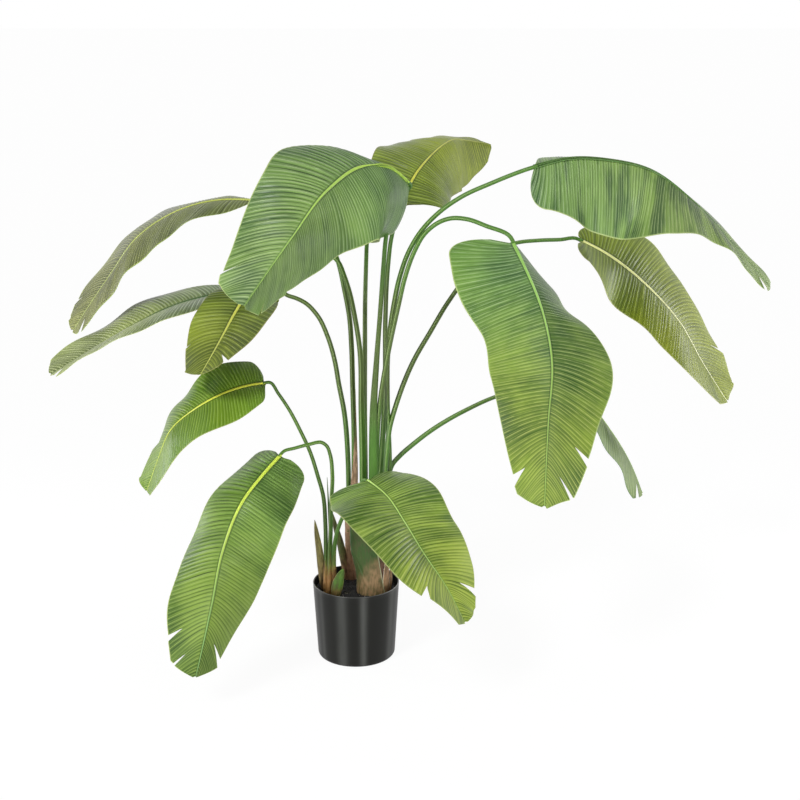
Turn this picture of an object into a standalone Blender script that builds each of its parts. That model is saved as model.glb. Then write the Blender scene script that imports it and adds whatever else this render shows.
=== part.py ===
"""Potted banana plant: thirteen long-stalked leaves rising from three stem bases in a plastic pot.

Metres, +Z up. The origin is the middle of the pot's underside, and -Y is the front.
"""

import math

import bmesh
import bpy
import numpy as np

# Pot: a plain tapered tub with a rounded foot.
potHeight = 0.170
potRimRadius = 0.095
potFootRadius = 0.085
potFootRound = 0.008
potWall = 0.0025
potFloor = 0.004
potSides = 48

# Weighted fill, level under the stem bases.
soilLevel = 0.152
seatGap = 0.0003

# Stems and blades.
bladeSkin = 0.0014
ribReach = 0.0045
ribDepthAtBase = 0.0040
ribDepthAtTip = 0.0012
ribTopAtBase = 0.0030
ribTopFade = 0.12
droopCurl = 10.0
stemFootRadius = 0.0060
stemRadius = 0.0050
stemTipRadius = 0.0040
slimFactor = 0.75
stemSamples = 13

leafGreen = (0.13, 0.30, 0.06, 1.0)
leafOlive = (0.24, 0.30, 0.06, 1.0)
stemGreen = (0.10, 0.22, 0.05, 1.0)
sheathBrown = (0.25, 0.14, 0.08, 1.0)
soilBlack = (0.02, 0.02, 0.02, 1.0)
potBlack = (0.025, 0.027, 0.027, 1.0)

# Vein roots along the midrib where a blade gets a section, and shares from the rib to the margin.
bladeRows = (0.0, 0.05, 0.12, 0.21, 0.32, 0.44, 0.56, 0.67, 0.77, 0.85, 0.92, 0.97)
bladeTipRow = 0.99
acrossHalf = (0.0, 0.34, 0.68, 1.0)

# One entry per leaf. rib is the midrib from its base to its tip. width is the widest reach of the
# left and right half, face is where the upper side looks, and the droops turn each half down from
# that face along the rib, in degrees. foot is the share of the width already present at the base,
# full is where the width is reached, and lean shifts a vein's outer end along the rib.
# tears holds (half, vein root, depth as a share of the vein, half width along the rib).
leafPlans = {
    "top_front": dict(
        rib=[(0.110, 0.000, 1.060), (0.070, -0.040, 1.085), (0.025, -0.080, 1.090),
             (-0.040, -0.160, 1.055), (-0.110, -0.250, 0.970), (-0.195, -0.330, 0.855)],
        width=(0.150, 0.130), face=(0.3, -0.8, 0.5), foot=(0.7, 0.5), calm=0.14,
        droopLeft=[28, 15, 48, 62, 62], droopRight=[53, 33, 18, 33, 28],
        tears=[("left", 0.74, 0.35, 0.012), ("left", 0.87, 0.35, 0.010), ("right", 0.80, 0.25, 0.012)]),
    "top_rear": dict(
        rib=[(0.105, 0.060, 1.010), (0.120, 0.090, 1.040), (0.160, 0.170, 1.080),
             (0.210, 0.270, 1.105), (0.250, 0.370, 1.090), (0.305, 0.440, 1.065)],
        width=(0.110, 0.125), face=(0.2, -0.4, 0.9),
        droopLeft=[10, 8, 23, 23, 15], droopRight=[0, 40, 58, 63, 58]),
    "right_high": dict(
        rib=[(0.365, -0.060, 1.085), (0.440, -0.040, 1.100), (0.520, -0.020, 1.095),
             (0.605, -0.010, 1.075), (0.710, -0.020, 1.000), (0.780, -0.040, 0.925),
             (0.855, -0.060, 0.850)],
        width=(0.120, 0.155), face=(0.0, -0.3, 1.0), foot=(0.6, 0.75),
        lean=[0.0, 0.07, 0.10, 0.07, 0.0],
        droopLeft=[20, 20, 25, 28, 20], droopRight=[42, 58, 50, 5, -15, -12],
        tears=[("right", 0.92, 0.50, 0.012)]),
    "right_rear": dict(
        rib=[(0.495, 0.200, 0.895), (0.550, 0.220, 0.870), (0.675, 0.250, 0.775),
             (0.740, 0.260, 0.700), (0.795, 0.260, 0.605), (0.855, 0.250, 0.510)],
        width=(0.110, 0.110), face=(0.5, -0.5, 0.7), foot=(0.35, 0.35),
        lean=[0.0, 0.08, 0.10, 0.08, 0.0],
        droopLeft=[0, -5, 3, 8, 3], droopRight=[-15, 22, 18, 0, -15],
        tears=[("left", 0.76, 0.40, 0.014), ("left", 0.88, 0.40, 0.012)]),
    "right_front": dict(
        rib=[(0.310, -0.100, 0.950), (0.340, -0.140, 0.915), (0.380, -0.210, 0.825),
             (0.395, -0.250, 0.735), (0.385, -0.280, 0.615), (0.380, -0.300, 0.450)],
        width=(0.140, 0.155), face=(0.1, -1.0, 0.4), foot=(0.6, 0.9), full=0.2,
        droopLeft=[68, 58, 28, 18, -5], droopRight=[28, 40, 43, 52, 35],
        tears=[("left", 0.72, 0.35, 0.014), ("left", 0.86, 0.50, 0.014), ("right", 0.76, 0.30, 0.014)]),
    "right_low": dict(
        rib=[(0.395, 0.130, 0.572), (0.450, 0.150, 0.570), (0.520, 0.170, 0.535),
             (0.585, 0.185, 0.460), (0.630, 0.190, 0.385), (0.655, 0.190, 0.310)],
        width=(0.090, 0.090), face=(0.7, -0.3, 0.6),
        droopLeft=[30, 30, 30, 30, 20], droopRight=[-2, -2, -2, 3, 8],
        tears=[("left", 0.84, 0.40, 0.014)]),
    "left_high": dict(
        rib=[(-0.220, 0.150, 0.990), (-0.290, 0.160, 0.990), (-0.385, 0.180, 0.965),
             (-0.480, 0.190, 0.905), (-0.550, 0.200, 0.815), (-0.635, 0.190, 0.695)],
        width=(0.110, 0.110), face=(-0.4, -0.1, 0.9), foot=(0.3, 0.3),
        lean=[0.0, 0.08, 0.10, 0.08, 0.0],
        droopLeft=[8, 10, 18, 13, 8], droopRight=[12, 12, -2, -12, -15],
        tears=[("right", 0.76, 0.35, 0.014), ("left", 0.84, 0.40, 0.012)]),
    "left_far": dict(
        rib=[(-0.250, 0.120, 0.805), (-0.310, 0.115, 0.795), (-0.380, 0.100, 0.780),
             (-0.470, 0.085, 0.740), (-0.560, 0.070, 0.685), (-0.655, 0.045, 0.630)],
        width=(0.100, 0.100), face=(-0.3, -0.1, 0.9), foot=(0.5, 0.5),
        lean=[0.0, 0.08, 0.10, 0.08, 0.0],
        droopLeft=[8, -2, -5, -12, -7], droopRight=[0, -2, -2, -7, -20],
        tears=[("left", 0.86, 0.40, 0.014)]),
    "left_inner": dict(
        rib=[(-0.185, 0.050, 0.835), (-0.220, 0.020, 0.815), (-0.245, -0.030, 0.785),
             (-0.270, -0.080, 0.745), (-0.285, -0.120, 0.715), (-0.305, -0.160, 0.685)],
        width=(0.090, 0.090), face=(-0.3, -0.4, 0.8),
        lean=[0.0, 0.08, 0.10, 0.08, 0.0],
        droopLeft=[28, 8, -7, -17, -40], droopRight=[23, -12, -12, 0, 15],
        tears=[("right", 0.66, 0.30, 0.014), ("right", 0.82, 0.30, 0.014), ("left", 0.84, 0.40, 0.014)]),
    "left_middle": dict(
        rib=[(-0.185, -0.050, 0.635), (-0.220, -0.070, 0.635), (-0.265, -0.090, 0.625),
             (-0.320, -0.110, 0.600), (-0.375, -0.120, 0.555), (-0.405, -0.120, 0.490),
             (-0.430, -0.120, 0.425)],
        width=(0.090, 0.090), face=(-0.4, -0.5, 0.8), foot=(0.45, 0.6),
        lean=[0.03, 0.08, 0.10, 0.08, 0.0],
        droopLeft=[10, 8, -2, -12, -20], droopRight=[3, 3, 18, 25, 5],
        tears=[("right", 0.72, 0.35, 0.014), ("right", 0.87, 0.35, 0.012)]),
    "left_low": dict(
        rib=[(-0.150, -0.120, 0.500), (-0.185, -0.160, 0.470), (-0.225, -0.210, 0.425),
             (-0.260, -0.260, 0.340), (-0.280, -0.290, 0.240), (-0.315, -0.310, 0.095)],
        width=(0.110, 0.110), face=(-0.1, -0.9, 0.5),
        lean=[-0.02, 0.06, 0.10, 0.08, 0.0],
        droopLeft=[33, 8, 30, 55, 60], droopRight=[48, 43, 38, 15, -2],
        tears=[("right", 0.78, 0.35, 0.012), ("right", 0.88, 0.40, 0.012), ("left", 0.84, 0.60, 0.018)]),
    "front_low": dict(
        rib=[(0.030, -0.120, 0.445), (0.075, -0.190, 0.430), (0.105, -0.240, 0.400),
             (0.145, -0.280, 0.345), (0.190, -0.310, 0.285), (0.225, -0.330, 0.220)],
        width=(0.110, 0.125), face=(0.3, -0.6, 0.8), foot=(0.7, 0.9), calm=0.12,
        droopLeft=[15, 0, 3, 8, 8], droopRight=[40, 0, -17, -27, -45],
        tears=[("left", 0.76, 0.45, 0.016), ("right", 0.66, 0.30, 0.018), ("right", 0.90, 0.35, 0.012)]),
    "rear": dict(
        rib=[(0.025, 0.100, 0.980), (0.005, 0.160, 1.020), (-0.015, 0.260, 1.020),
             (-0.035, 0.380, 0.970), (-0.055, 0.500, 0.850)],
        width=(0.100, 0.100), face=(0.0, 0.2, 1.0), foot=(0.5, 0.5),
        lean=[0.0, 0.08, 0.10, 0.08, 0.0],
        droopLeft=[15, 15, 20, 20, 15], droopRight=[15, 15, 20, 20, 15],
        tears=[("left", 0.80, 0.35, 0.014)]),
}

# Stalk routes from the foot on a stem base up to just short of the leaf of the same name.
# The foot's height is the top of its stem base.
stemRoutes = {
    "top_front": ("main", [(0.034, -0.026), (0.041, -0.034, 0.480), (0.047, -0.030, 0.670),
                           (0.060, -0.020, 0.805), (0.071, -0.010, 0.940), (0.087, 0.004, 1.010)]),
    "top_rear": ("main", [(0.038, 0.003), (0.052, 0.018, 0.420), (0.066, 0.030, 0.520),
                          (0.069, 0.032, 0.670), (0.069, 0.030, 0.800), (0.079, 0.035, 0.905),
                          (0.093, 0.045, 0.970)]),
    "right_high": ("main", [(0.063, -0.014), (0.065, -0.016, 0.420), (0.067, -0.016, 0.500),
                            (0.072, -0.018, 0.700), (0.091, -0.020, 0.860), (0.124, -0.030, 0.935),
                            (0.166, -0.040, 0.990), (0.250, -0.050, 1.042), (0.317, -0.058, 1.069)]),
    "right_rear": ("main", [(0.053, 0.002), (0.059, 0.001, 0.400), (0.070, 0.005, 0.495),
                            (0.084, 0.020, 0.574), (0.118, 0.040, 0.649), (0.157, 0.070, 0.714),
                            (0.203, 0.100, 0.779), (0.271, 0.140, 0.857), (0.342, 0.170, 0.893),
                            (0.416, 0.187, 0.902)]),
    "right_front": ("main", [(0.052, -0.027), (0.058, -0.035, 0.420), (0.061, -0.036, 0.506),
                             (0.080, -0.036, 0.702), (0.107, -0.040, 0.852), (0.152, -0.050, 0.944),
                             (0.188, -0.060, 0.978), (0.244, -0.078, 0.983)]),
    "right_low": ("main", [(0.069, 0.001), (0.074, 0.008, 0.385), (0.092, 0.022, 0.440),
                           (0.158, 0.060, 0.492), (0.242, 0.090, 0.536), (0.330, 0.116, 0.566)]),
    "left_high": ("rear", [(-0.004, 0.036), (-0.002, 0.034, 0.460), (-0.002, 0.032, 0.560),
                           (-0.006, 0.040, 0.682), (-0.018, 0.060, 0.789), (-0.040, 0.090, 0.881),
                           (-0.079, 0.120, 0.947), (-0.140, 0.140, 0.983)]),
    "left_far": ("main", [(0.016, -0.020), (0.019, -0.020, 0.450), (0.019, -0.018, 0.585),
                          (0.014, -0.005, 0.694), (-0.008, 0.018, 0.790), (-0.038, 0.050, 0.850),
                         (-0.080, 0.080, 0.870), (-0.140, 0.110, 0.855), (-0.205, 0.122, 0.816)]),
    "left_inner": ("rear", [(-0.018, 0.040), (-0.018, 0.046, 0.450), (-0.019, 0.049, 0.536),
                           (-0.028, 0.050, 0.611), (-0.043, 0.050, 0.673), (-0.064, 0.050, 0.728),
                           (-0.086, 0.050, 0.763), (-0.114, 0.050, 0.791), (-0.147, 0.050, 0.820)]),
    "left_middle": ("side", [(-0.068, -0.018), (-0.068, -0.020, 0.338), (-0.077, -0.020, 0.413),
                             (-0.095, -0.028, 0.480), (-0.119, -0.036, 0.550), (-0.148, -0.043, 0.608)]),
    "left_low": ("side", [(-0.058, -0.030), (-0.052, -0.036, 0.310), (-0.047, -0.040, 0.372),
                          (-0.046, -0.050, 0.437), (-0.050, -0.062, 0.485), (-0.064, -0.078, 0.511),
                          (-0.092, -0.092, 0.517)]),
    "front_low": ("side", [(-0.047, -0.031), (-0.043, -0.048, 0.285), (-0.031, -0.068, 0.340),
                           (-0.015, -0.085, 0.388)]),
    "rear": ("main", [(0.022, 0.001), (0.024, 0.018, 0.510), (0.022, 0.030, 0.656),
                      (0.027, 0.046, 0.791), (0.029, 0.066, 0.895)]),
}
slimStems = ("left_middle", "left_low", "front_low")

# Stem bases: oval columns as (centre x, centre y, half x, half y, z), from the soil to the stalks.
stemBases = {
    "main": [(0.039, -0.015, 0.033, 0.028, soilLevel + seatGap), (0.038, -0.014, 0.033, 0.026, 0.200),
             (0.040, -0.012, 0.037, 0.023, 0.270), (0.042, -0.012, 0.040, 0.022, 0.330)],
    "rear": [(-0.018, 0.060, 0.013, 0.011, soilLevel + seatGap), (-0.015, 0.053, 0.012, 0.010, 0.230),
             (-0.012, 0.043, 0.014, 0.010, 0.310), (-0.011, 0.038, 0.0165, 0.010, 0.360)],
    "side": [(-0.054, -0.018, 0.020, 0.018, soilLevel + seatGap), (-0.055, -0.020, 0.019, 0.018, 0.195),
             (-0.057, -0.022, 0.020, 0.019, 0.240)],
}

# Pointed sheaths that stand on the soil beside the stem bases: route, half width, half thickness.
sheaths = {
    "sheath_left": ([(-0.080, -0.004, soilLevel + seatGap), (-0.085, -0.010, 0.220),
                     (-0.088, -0.016, 0.275), (-0.089, -0.020, 0.320)], 0.0055, 0.0020),
    "sheath_lean": ([(-0.039, 0.058, soilLevel + seatGap), (-0.043, 0.056, 0.200),
                     (-0.049, 0.052, 0.250), (-0.054, 0.048, 0.290)], 0.0055, 0.0020),
    "sheath_right": ([(0.080, -0.010, soilLevel + seatGap), (0.082, -0.010, 0.180),
                      (0.081, -0.010, 0.200), (0.079, -0.010, 0.220)], 0.0040, 0.0015),
    "shoot_small": ([(-0.034, -0.040, soilLevel + seatGap), (-0.031, -0.040, 0.175),
                     (-0.028, -0.039, 0.198), (-0.026, -0.038, 0.214)], 0.0070, 0.0030),
}
spearRoute = [(-0.054, -0.010), (-0.056, -0.011, 0.300), (-0.060, -0.014, 0.413)]
spearTipRadius = 0.0009


def clearScene():
    for item in list(bpy.data.objects):
        bpy.data.objects.remove(item, do_unlink=True)


def makeMaterial(name, color, roughness):
    material = bpy.data.materials.new(name)
    material.use_nodes = True
    shader = material.node_tree.nodes["Principled BSDF"]
    shader.inputs["Base Color"].default_value = color
    shader.inputs["Roughness"].default_value = roughness
    shader.inputs["Metallic"].default_value = 0.0
    return material


def addObject(name, data, color, roughness):
    item = bpy.data.objects.new(name, data)
    item.data.materials.append(makeMaterial(name + "_look", color, roughness))
    bpy.context.scene.collection.objects.link(item)
    return item


def meshFrom(name, build):
    bm = bmesh.new()
    build(bm)
    bmesh.ops.recalc_face_normals(bm, faces=bm.faces)
    mesh = bpy.data.meshes.new(name)
    bm.to_mesh(mesh)
    bm.free()
    mesh.shade_smooth()
    mesh.set_sharp_from_angle(angle=math.radians(40))
    return mesh


def unit(vectors):
    return vectors / np.linalg.norm(vectors, axis=-1, keepdims=True)


def alongPath(points, share):
    """Smooth curve through the points: cubic pieces with shared slopes, straight past both ends."""
    knots = np.array(points, float)
    gaps = np.linalg.norm(np.diff(knots, axis=0), axis=1)
    reach = np.concatenate([[0.0], np.cumsum(gaps)]) / gaps.sum()
    spans = np.diff(reach)
    steps = np.diff(knots, axis=0) / spans[:, None]
    slopes = np.empty_like(knots)
    slopes[1:-1] = steps[:-1] * spans[1:, None] + steps[1:] * spans[:-1, None]
    slopes[1:-1] /= (spans[1:] + spans[:-1])[:, None]
    slopes[0] = 1.5 * steps[0] - 0.5 * slopes[1]
    slopes[-1] = 1.5 * steps[-1] - 0.5 * slopes[-2]
    inside = np.clip(share, 0.0, 1.0)
    piece = np.clip(np.searchsorted(reach, inside, side="right") - 1, 0, len(spans) - 1)
    span = spans[piece][..., None]
    u = (inside - reach[piece])[..., None] / span
    curve = (1 + 2 * u) * (1 - u) ** 2 * knots[piece] + u * (1 - u) ** 2 * span * slopes[piece]
    curve += u * u * (3 - 2 * u) * knots[piece + 1] + u * u * (u - 1) * span * slopes[piece + 1]
    ends = np.where((share < 0)[..., None], slopes[0], slopes[-1])
    return curve + (share - inside)[..., None] * ends


def ease(values, share):
    """Smooth curve through evenly spaced values."""
    knots = np.array(values, float)
    last = len(knots) - 1
    x = np.clip(share, 0.0, 1.0) * last
    piece = np.clip(x.astype(int), 0, last - 1)
    u = x - piece
    slope = np.gradient(knots)
    curve = (1 + 2 * u) * (1 - u) ** 2 * knots[piece] + u * (1 - u) ** 2 * slope[piece]
    return curve + u * u * (3 - 2 * u) * knots[piece + 1] + u * u * (u - 1) * slope[piece + 1]


def leafOutline(root, foot, full):
    """Reach of a half blade: a sine rise from the foot share to the full width, then a blunt taper."""
    rise = foot + (1 - foot) * np.sin(np.pi / 2 * np.clip(root / full, 0, 1))
    taper = (1 - np.clip((root - full) / (1 - full), 0, 1) ** 2.3) ** 0.72
    return rise * taper


def tornReach(plan, half, root):
    """Share of each vein that is left where tears bite in from the margin as V notches."""
    reach = np.ones_like(root)
    for side, middle, depth, halfSpan in plan.get("tears", ()):
        if side == half:
            bite = depth * np.clip(1 - np.abs(root - middle) / halfSpan, 0, 1)
            reach = np.minimum(reach, 1 - bite)
    return reach


def bladeFrame(plan, here):
    """Middle of the blade with its length, side and face directions at shares along the rib."""
    calm = plan.get("calm", 0.08)
    middle = alongPath(plan["rib"], here)
    along = unit(alongPath(plan["rib"], here + calm) - alongPath(plan["rib"], here - calm))
    face = np.broadcast_to(np.array(plan["face"], float), along.shape)
    face = unit(face - (face * along).sum(-1, keepdims=True) * along)
    return middle, along, np.cross(face, along), face


def halfWidth(plan, half, root):
    index = 0 if half == "left" else 1
    foot = plan.get("foot", (0.6, 0.6))[index]
    return plan["width"][index] * leafOutline(root, foot, plan.get("full", 0.33))


def bladePoint(plan, half, root, out, start):
    """Point and upper normal at a share out along a vein, which leaves the rib square as far as start."""
    sign = 1.0 if half == "left" else -1.0
    lean = ease(plan.get("lean", [-0.04, 0.06, 0.10, 0.08, 0.0]), root)
    here = root + lean * ((out - start) / (1 - start)) ** 1.25
    middle, along, side, face = bladeFrame(plan, here)
    droops = plan["droopLeft"] if half == "left" else plan["droopRight"]
    turn = np.radians(ease(droops, here) + droopCurl * (out - 1))[..., None]
    outward = np.cos(turn) * side * sign - np.sin(turn) * face
    normal = np.cos(turn) * face + np.sin(turn) * side * sign
    return middle + (out * halfWidth(plan, half, root))[..., None] * outward, normal


def bladeRoots(plan):
    """Vein roots that get a section: the plain rows, with three for each tear in place of near ones."""
    roots = set(bladeRows) | {bladeTipRow}
    for side, middle, depth, halfSpan in plan.get("tears", ()):
        roots = {root for root in roots if abs(root - middle) > halfSpan * 1.4 or root == bladeTipRow}
        roots |= {middle - halfSpan, middle, middle + halfSpan}
    return np.array(sorted(roots))


def bladeSection(plan, root):
    """Closed section of the blade at one vein pair: its upper row, then its lower row."""
    vein = np.array([root])
    thin = bladeSkin / 2
    upper = {}
    lower = {}
    for half in ("left", "right"):
        edge = min(0.3, ribReach / halfWidth(plan, half, root))
        reach = tornReach(plan, half, vein) - edge
        samples = [bladePoint(plan, half, vein, edge + reach * share, edge) for share in acrossHalf]
        upper[half] = [point[0] + normal[0] * thin for point, normal in samples]
        lower[half] = [point[0] - normal[0] * thin for point, normal in samples]
    middle, along, side, face = bladeFrame(plan, vein)
    ribTop = thin + ribTopAtBase * max(0.0, 1 - root / ribTopFade)
    ribLow = thin + ribDepthAtTip + (ribDepthAtBase - ribDepthAtTip) * (1 - root)
    upperRow = upper["left"][::-1] + [middle[0] + face[0] * ribTop] + upper["right"]
    lowerRow = lower["left"][::-1] + [middle[0] - face[0] * ribLow] + lower["right"]
    return upperRow, lowerRow


def buildBlade(bm, plan):
    sections = [bladeSection(plan, root) for root in bladeRoots(plan)]
    upper = [[bm.verts.new(point) for point in section[0]] for section in sections]
    lower = [[bm.verts.new(point) for point in section[1]] for section in sections]
    last = len(upper[0]) - 1
    for row in range(len(sections) - 1):
        for column in range(last):
            bm.faces.new((upper[row][column], upper[row][column + 1],
                          upper[row + 1][column + 1], upper[row + 1][column]))
            bm.faces.new((lower[row][column], lower[row + 1][column],
                          lower[row + 1][column + 1], lower[row][column + 1]))
        for edge in (0, last):
            bm.faces.new((upper[row][edge], upper[row + 1][edge], lower[row + 1][edge], lower[row][edge]))
    for row in (0, -1):
        for column in range(last):
            bm.faces.new((upper[row][column], upper[row][column + 1],
                          lower[row][column + 1], lower[row][column]))


def addLeaf(name, plan):
    mesh = meshFrom("leaf_" + name, lambda bm: buildBlade(bm, plan))
    olive = name in ("top_rear", "right_rear", "left_inner", "left_high", "left_far")
    addObject("leaf_" + name, mesh, leafOlive if olive else leafGreen, 0.45)


def addTube(name, points, radii, color, roughness):
    curve = bpy.data.curves.new(name, "CURVE")
    curve.dimensions = "3D"
    curve.bevel_depth = 1.0
    curve.bevel_resolution = 2
    curve.use_fill_caps = True
    spline = curve.splines.new("POLY")
    spline.points.add(len(points) - 1)
    for knot, point, radius in zip(spline.points, points, radii):
        knot.co = (*point, 1.0)
        knot.radius = radius
    spline.use_smooth = True
    addObject(name, curve, color, roughness)


def addStem(name):
    """Tapered stalk that stands upright on its stem base and runs square into the leaf's base."""
    base, route = stemRoutes[name]
    footHeight = stemBases[base][-1][4] + seatGap
    foot = np.array([*route[0], footHeight])
    leafBase, along, side, face = (value[0] for value in bladeFrame(leafPlans[name], np.array([0.0])))
    lowRib = bladeSkin / 2 + ribDepthAtBase
    rodMiddle = leafBase - face * (lowRib - bladeSkin / 2 - ribTopAtBase) / 2
    ends = [rodMiddle - along * (seatGap + 0.012), rodMiddle - along * seatGap]
    knots = [foot, foot + (0, 0, 0.006)] + [np.array(point) for point in route[1:]] + [ends[0]]
    shares = np.linspace(0, 1, stemSamples)
    samples = alongPath(knots[1:], shares)
    points = np.concatenate([foot[None], samples, ends[1][None]])
    slim = slimFactor if name in slimStems else 1.0
    grow = np.concatenate([[0.0], shares, [1.0]])
    radii = np.interp(grow, (0.0, 0.25, 1.0), (stemFootRadius, stemRadius, stemTipRadius)) * slim
    addTube("stem_" + name, points, radii, stemGreen, 0.5)


def addSpear():
    foot = np.array([*spearRoute[0], stemBases["side"][-1][4] + seatGap])
    knots = [foot + (0, 0, 0.006)] + [np.array(point) for point in spearRoute[1:]]
    shares = np.linspace(0, 1, 7)
    points = np.concatenate([foot[None], alongPath(knots, shares)])
    radii = np.interp(np.concatenate([[0.0], shares]), (0, 1), (0.0032, spearTipRadius))
    addTube("spear", points, radii, stemGreen, 0.5)


def ringPoints(center, halfX, halfY, height, sides):
    turns = np.linspace(0, 2 * np.pi, sides, endpoint=False)
    return [(center[0] + halfX * math.cos(turn), center[1] + halfY * math.sin(turn), height)
            for turn in turns]


def loftRings(bm, rings):
    """Solid through closed rings of equal count, capped at both ends."""
    loops = [[bm.verts.new(point) for point in ring] for ring in rings]
    count = len(loops[0])
    for low, high in zip(loops, loops[1:]):
        for side in range(count):
            after = (side + 1) % count
            bm.faces.new((low[side], low[after], high[after], high[side]))
    bm.faces.new(reversed(loops[0]))
    bm.faces.new(loops[-1])


def addStemBase(name, knots):
    values = np.array(knots)
    heights = np.linspace(values[0, 4], values[-1, 4], 6)
    columns = [np.interp(heights, values[:, 4], values[:, column]) for column in range(4)]
    rings = [ringPoints((x, y), halfX, halfY, z, 20)
             for x, y, halfX, halfY, z in zip(*columns, heights)]
    addObject("base_" + name, meshFrom("base_" + name, lambda bm: loftRings(bm, rings)), sheathBrown, 0.6)


def addSheath(name, route, halfWidth, halfThick):
    """Flat pointed sheath: oval sections that widen a little, then narrow to a tip."""
    shares = np.linspace(0, 1, 7)
    centers = alongPath(route, shares)
    swell = np.array([0.75, 0.95, 1.0, 0.92, 0.72, 0.42, 0.12])
    rings = [ringPoints(center, halfWidth * grow, halfThick * grow, center[2], 10)
             for center, grow in zip(centers, swell)]
    addObject(name, meshFrom(name, lambda bm: loftRings(bm, rings)), sheathBrown, 0.6)


def potWallRadius(height):
    return potFootRadius + (potRimRadius - potFootRadius) * height / potHeight


def turnProfile(bm, profile):
    """Closed solid from an (radius, height) outline that starts and ends on the axis."""
    rings = [[bm.verts.new(point) for point in ringPoints((0, 0), radius, radius, height, potSides)]
             for radius, height in profile]
    for low, high in zip(rings, rings[1:]):
        for side in range(potSides):
            after = (side + 1) % potSides
            bm.faces.new((low[side], low[after], high[after], high[side]))
    bm.faces.new(reversed(rings[0]))
    bm.faces.new(rings[-1])


def addPot():
    footTurns = np.radians(np.linspace(-90, 0, 5))
    footMiddle = potWallRadius(potFootRound) - potFootRound
    outer = [(footMiddle + potFootRound * math.cos(turn), potFootRound * (1 + math.sin(turn)))
             for turn in footTurns]
    outer += [(potWallRadius(height), height) for height in (0.090, potHeight - 0.001)]
    lip = [(potRimRadius - 0.0008, potHeight), (potRimRadius - potWall + 0.0006, potHeight)]
    inner = [(potWallRadius(height) - potWall, height) for height in (potHeight - 0.001, 0.090, 0.012)]
    inner += [(potWallRadius(0) - potWall - 0.006, potFloor)]
    profile = outer + lip + inner
    addObject("pot", meshFrom("pot", lambda bm: turnProfile(bm, profile)), potBlack, 0.35)


def addFill():
    """Weighted fill, clear of the pot by the seat gap all round."""
    wall = potWall + seatGap
    profile = [(potWallRadius(0) - wall - 0.0062, potFloor + seatGap)]
    profile += [(potWallRadius(height) - wall, height) for height in (0.0125, 0.090, soilLevel - 0.002)]
    profile += [(potWallRadius(soilLevel) - wall - 0.002, soilLevel)]
    addObject("fill", meshFrom("fill", lambda bm: turnProfile(bm, profile)), soilBlack, 0.95)


def main():
    clearScene()
    addPot()
    addFill()
    for name, knots in stemBases.items():
        addStemBase(name, knots)
    for name, (route, halfWidth, halfThick) in sheaths.items():
        addSheath(name, route, halfWidth, halfThick)
    addSpear()
    for name, plan in leafPlans.items():
        addLeaf(name, plan)
        addStem(name)


main()
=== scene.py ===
# Potted banana plant: pleated leaves on long stalks, wrapped stem bases, soil and a plastic pot.
# Metres, +Z up, -Y is the front. A leaf and its stalk share a name.

import math
import bpy
import numpy as np
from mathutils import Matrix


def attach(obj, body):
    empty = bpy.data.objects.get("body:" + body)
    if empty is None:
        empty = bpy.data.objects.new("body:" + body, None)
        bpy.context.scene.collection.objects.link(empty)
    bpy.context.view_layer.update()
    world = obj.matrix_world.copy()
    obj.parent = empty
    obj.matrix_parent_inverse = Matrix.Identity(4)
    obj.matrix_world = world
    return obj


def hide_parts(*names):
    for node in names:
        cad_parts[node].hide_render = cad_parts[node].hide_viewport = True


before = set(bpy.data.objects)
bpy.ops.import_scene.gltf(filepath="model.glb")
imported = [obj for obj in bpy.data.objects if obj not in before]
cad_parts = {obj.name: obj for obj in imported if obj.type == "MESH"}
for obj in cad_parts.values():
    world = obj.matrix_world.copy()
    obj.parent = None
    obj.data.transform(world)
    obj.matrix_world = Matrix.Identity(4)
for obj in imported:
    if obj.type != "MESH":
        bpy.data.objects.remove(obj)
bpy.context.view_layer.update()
print("frame loaded:", len(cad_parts), "nodes")


# Vectors brought to length one.
def unit(vectors):
    return vectors / np.maximum(np.linalg.norm(vectors, axis=-1, keepdims=True), 1e-9)


# Smoothstep: 0 below low, 1 above high, an S curve between.
def fade(low, high, x):
    t = np.clip((x - low) / (high - low), 0, 1)
    return t * t * (3 - 2 * t)


# A smooth curve through the points: cubic pieces with shared slopes, straight past both ends.
def alongPath(points, share):
    knots = np.array(points, float)
    gaps = np.linalg.norm(np.diff(knots, axis=0), axis=1)
    reach = np.concatenate([[0.0], np.cumsum(gaps)]) / gaps.sum()
    spans = np.diff(reach)
    steps = np.diff(knots, axis=0) / spans[:, None]
    slopes = np.empty_like(knots)
    slopes[1:-1] = steps[:-1] * spans[1:, None] + steps[1:] * spans[:-1, None]
    slopes[1:-1] /= (spans[1:] + spans[:-1])[:, None]
    slopes[0] = 1.5 * steps[0] - 0.5 * slopes[1]
    slopes[-1] = 1.5 * steps[-1] - 0.5 * slopes[-2]
    inside = np.clip(share, 0.0, 1.0)
    piece = np.clip(np.searchsorted(reach, inside, side="right") - 1, 0, len(spans) - 1)
    span = spans[piece][..., None]
    u = (inside - reach[piece])[..., None] / span
    curve = (1 + 2 * u) * (1 - u) ** 2 * knots[piece] + u * (1 - u) ** 2 * span * slopes[piece]
    curve += u * u * (3 - 2 * u) * knots[piece + 1] + u * u * (u - 1) * span * slopes[piece + 1]
    ends = np.where((share < 0)[..., None], slopes[0], slopes[-1])
    return curve + (share - inside)[..., None] * ends


# Length of that curve.
def pathLength(points):
    samples = alongPath(points, np.linspace(0, 1, 60))
    return np.linalg.norm(np.diff(samples, axis=0), axis=1).sum()


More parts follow.
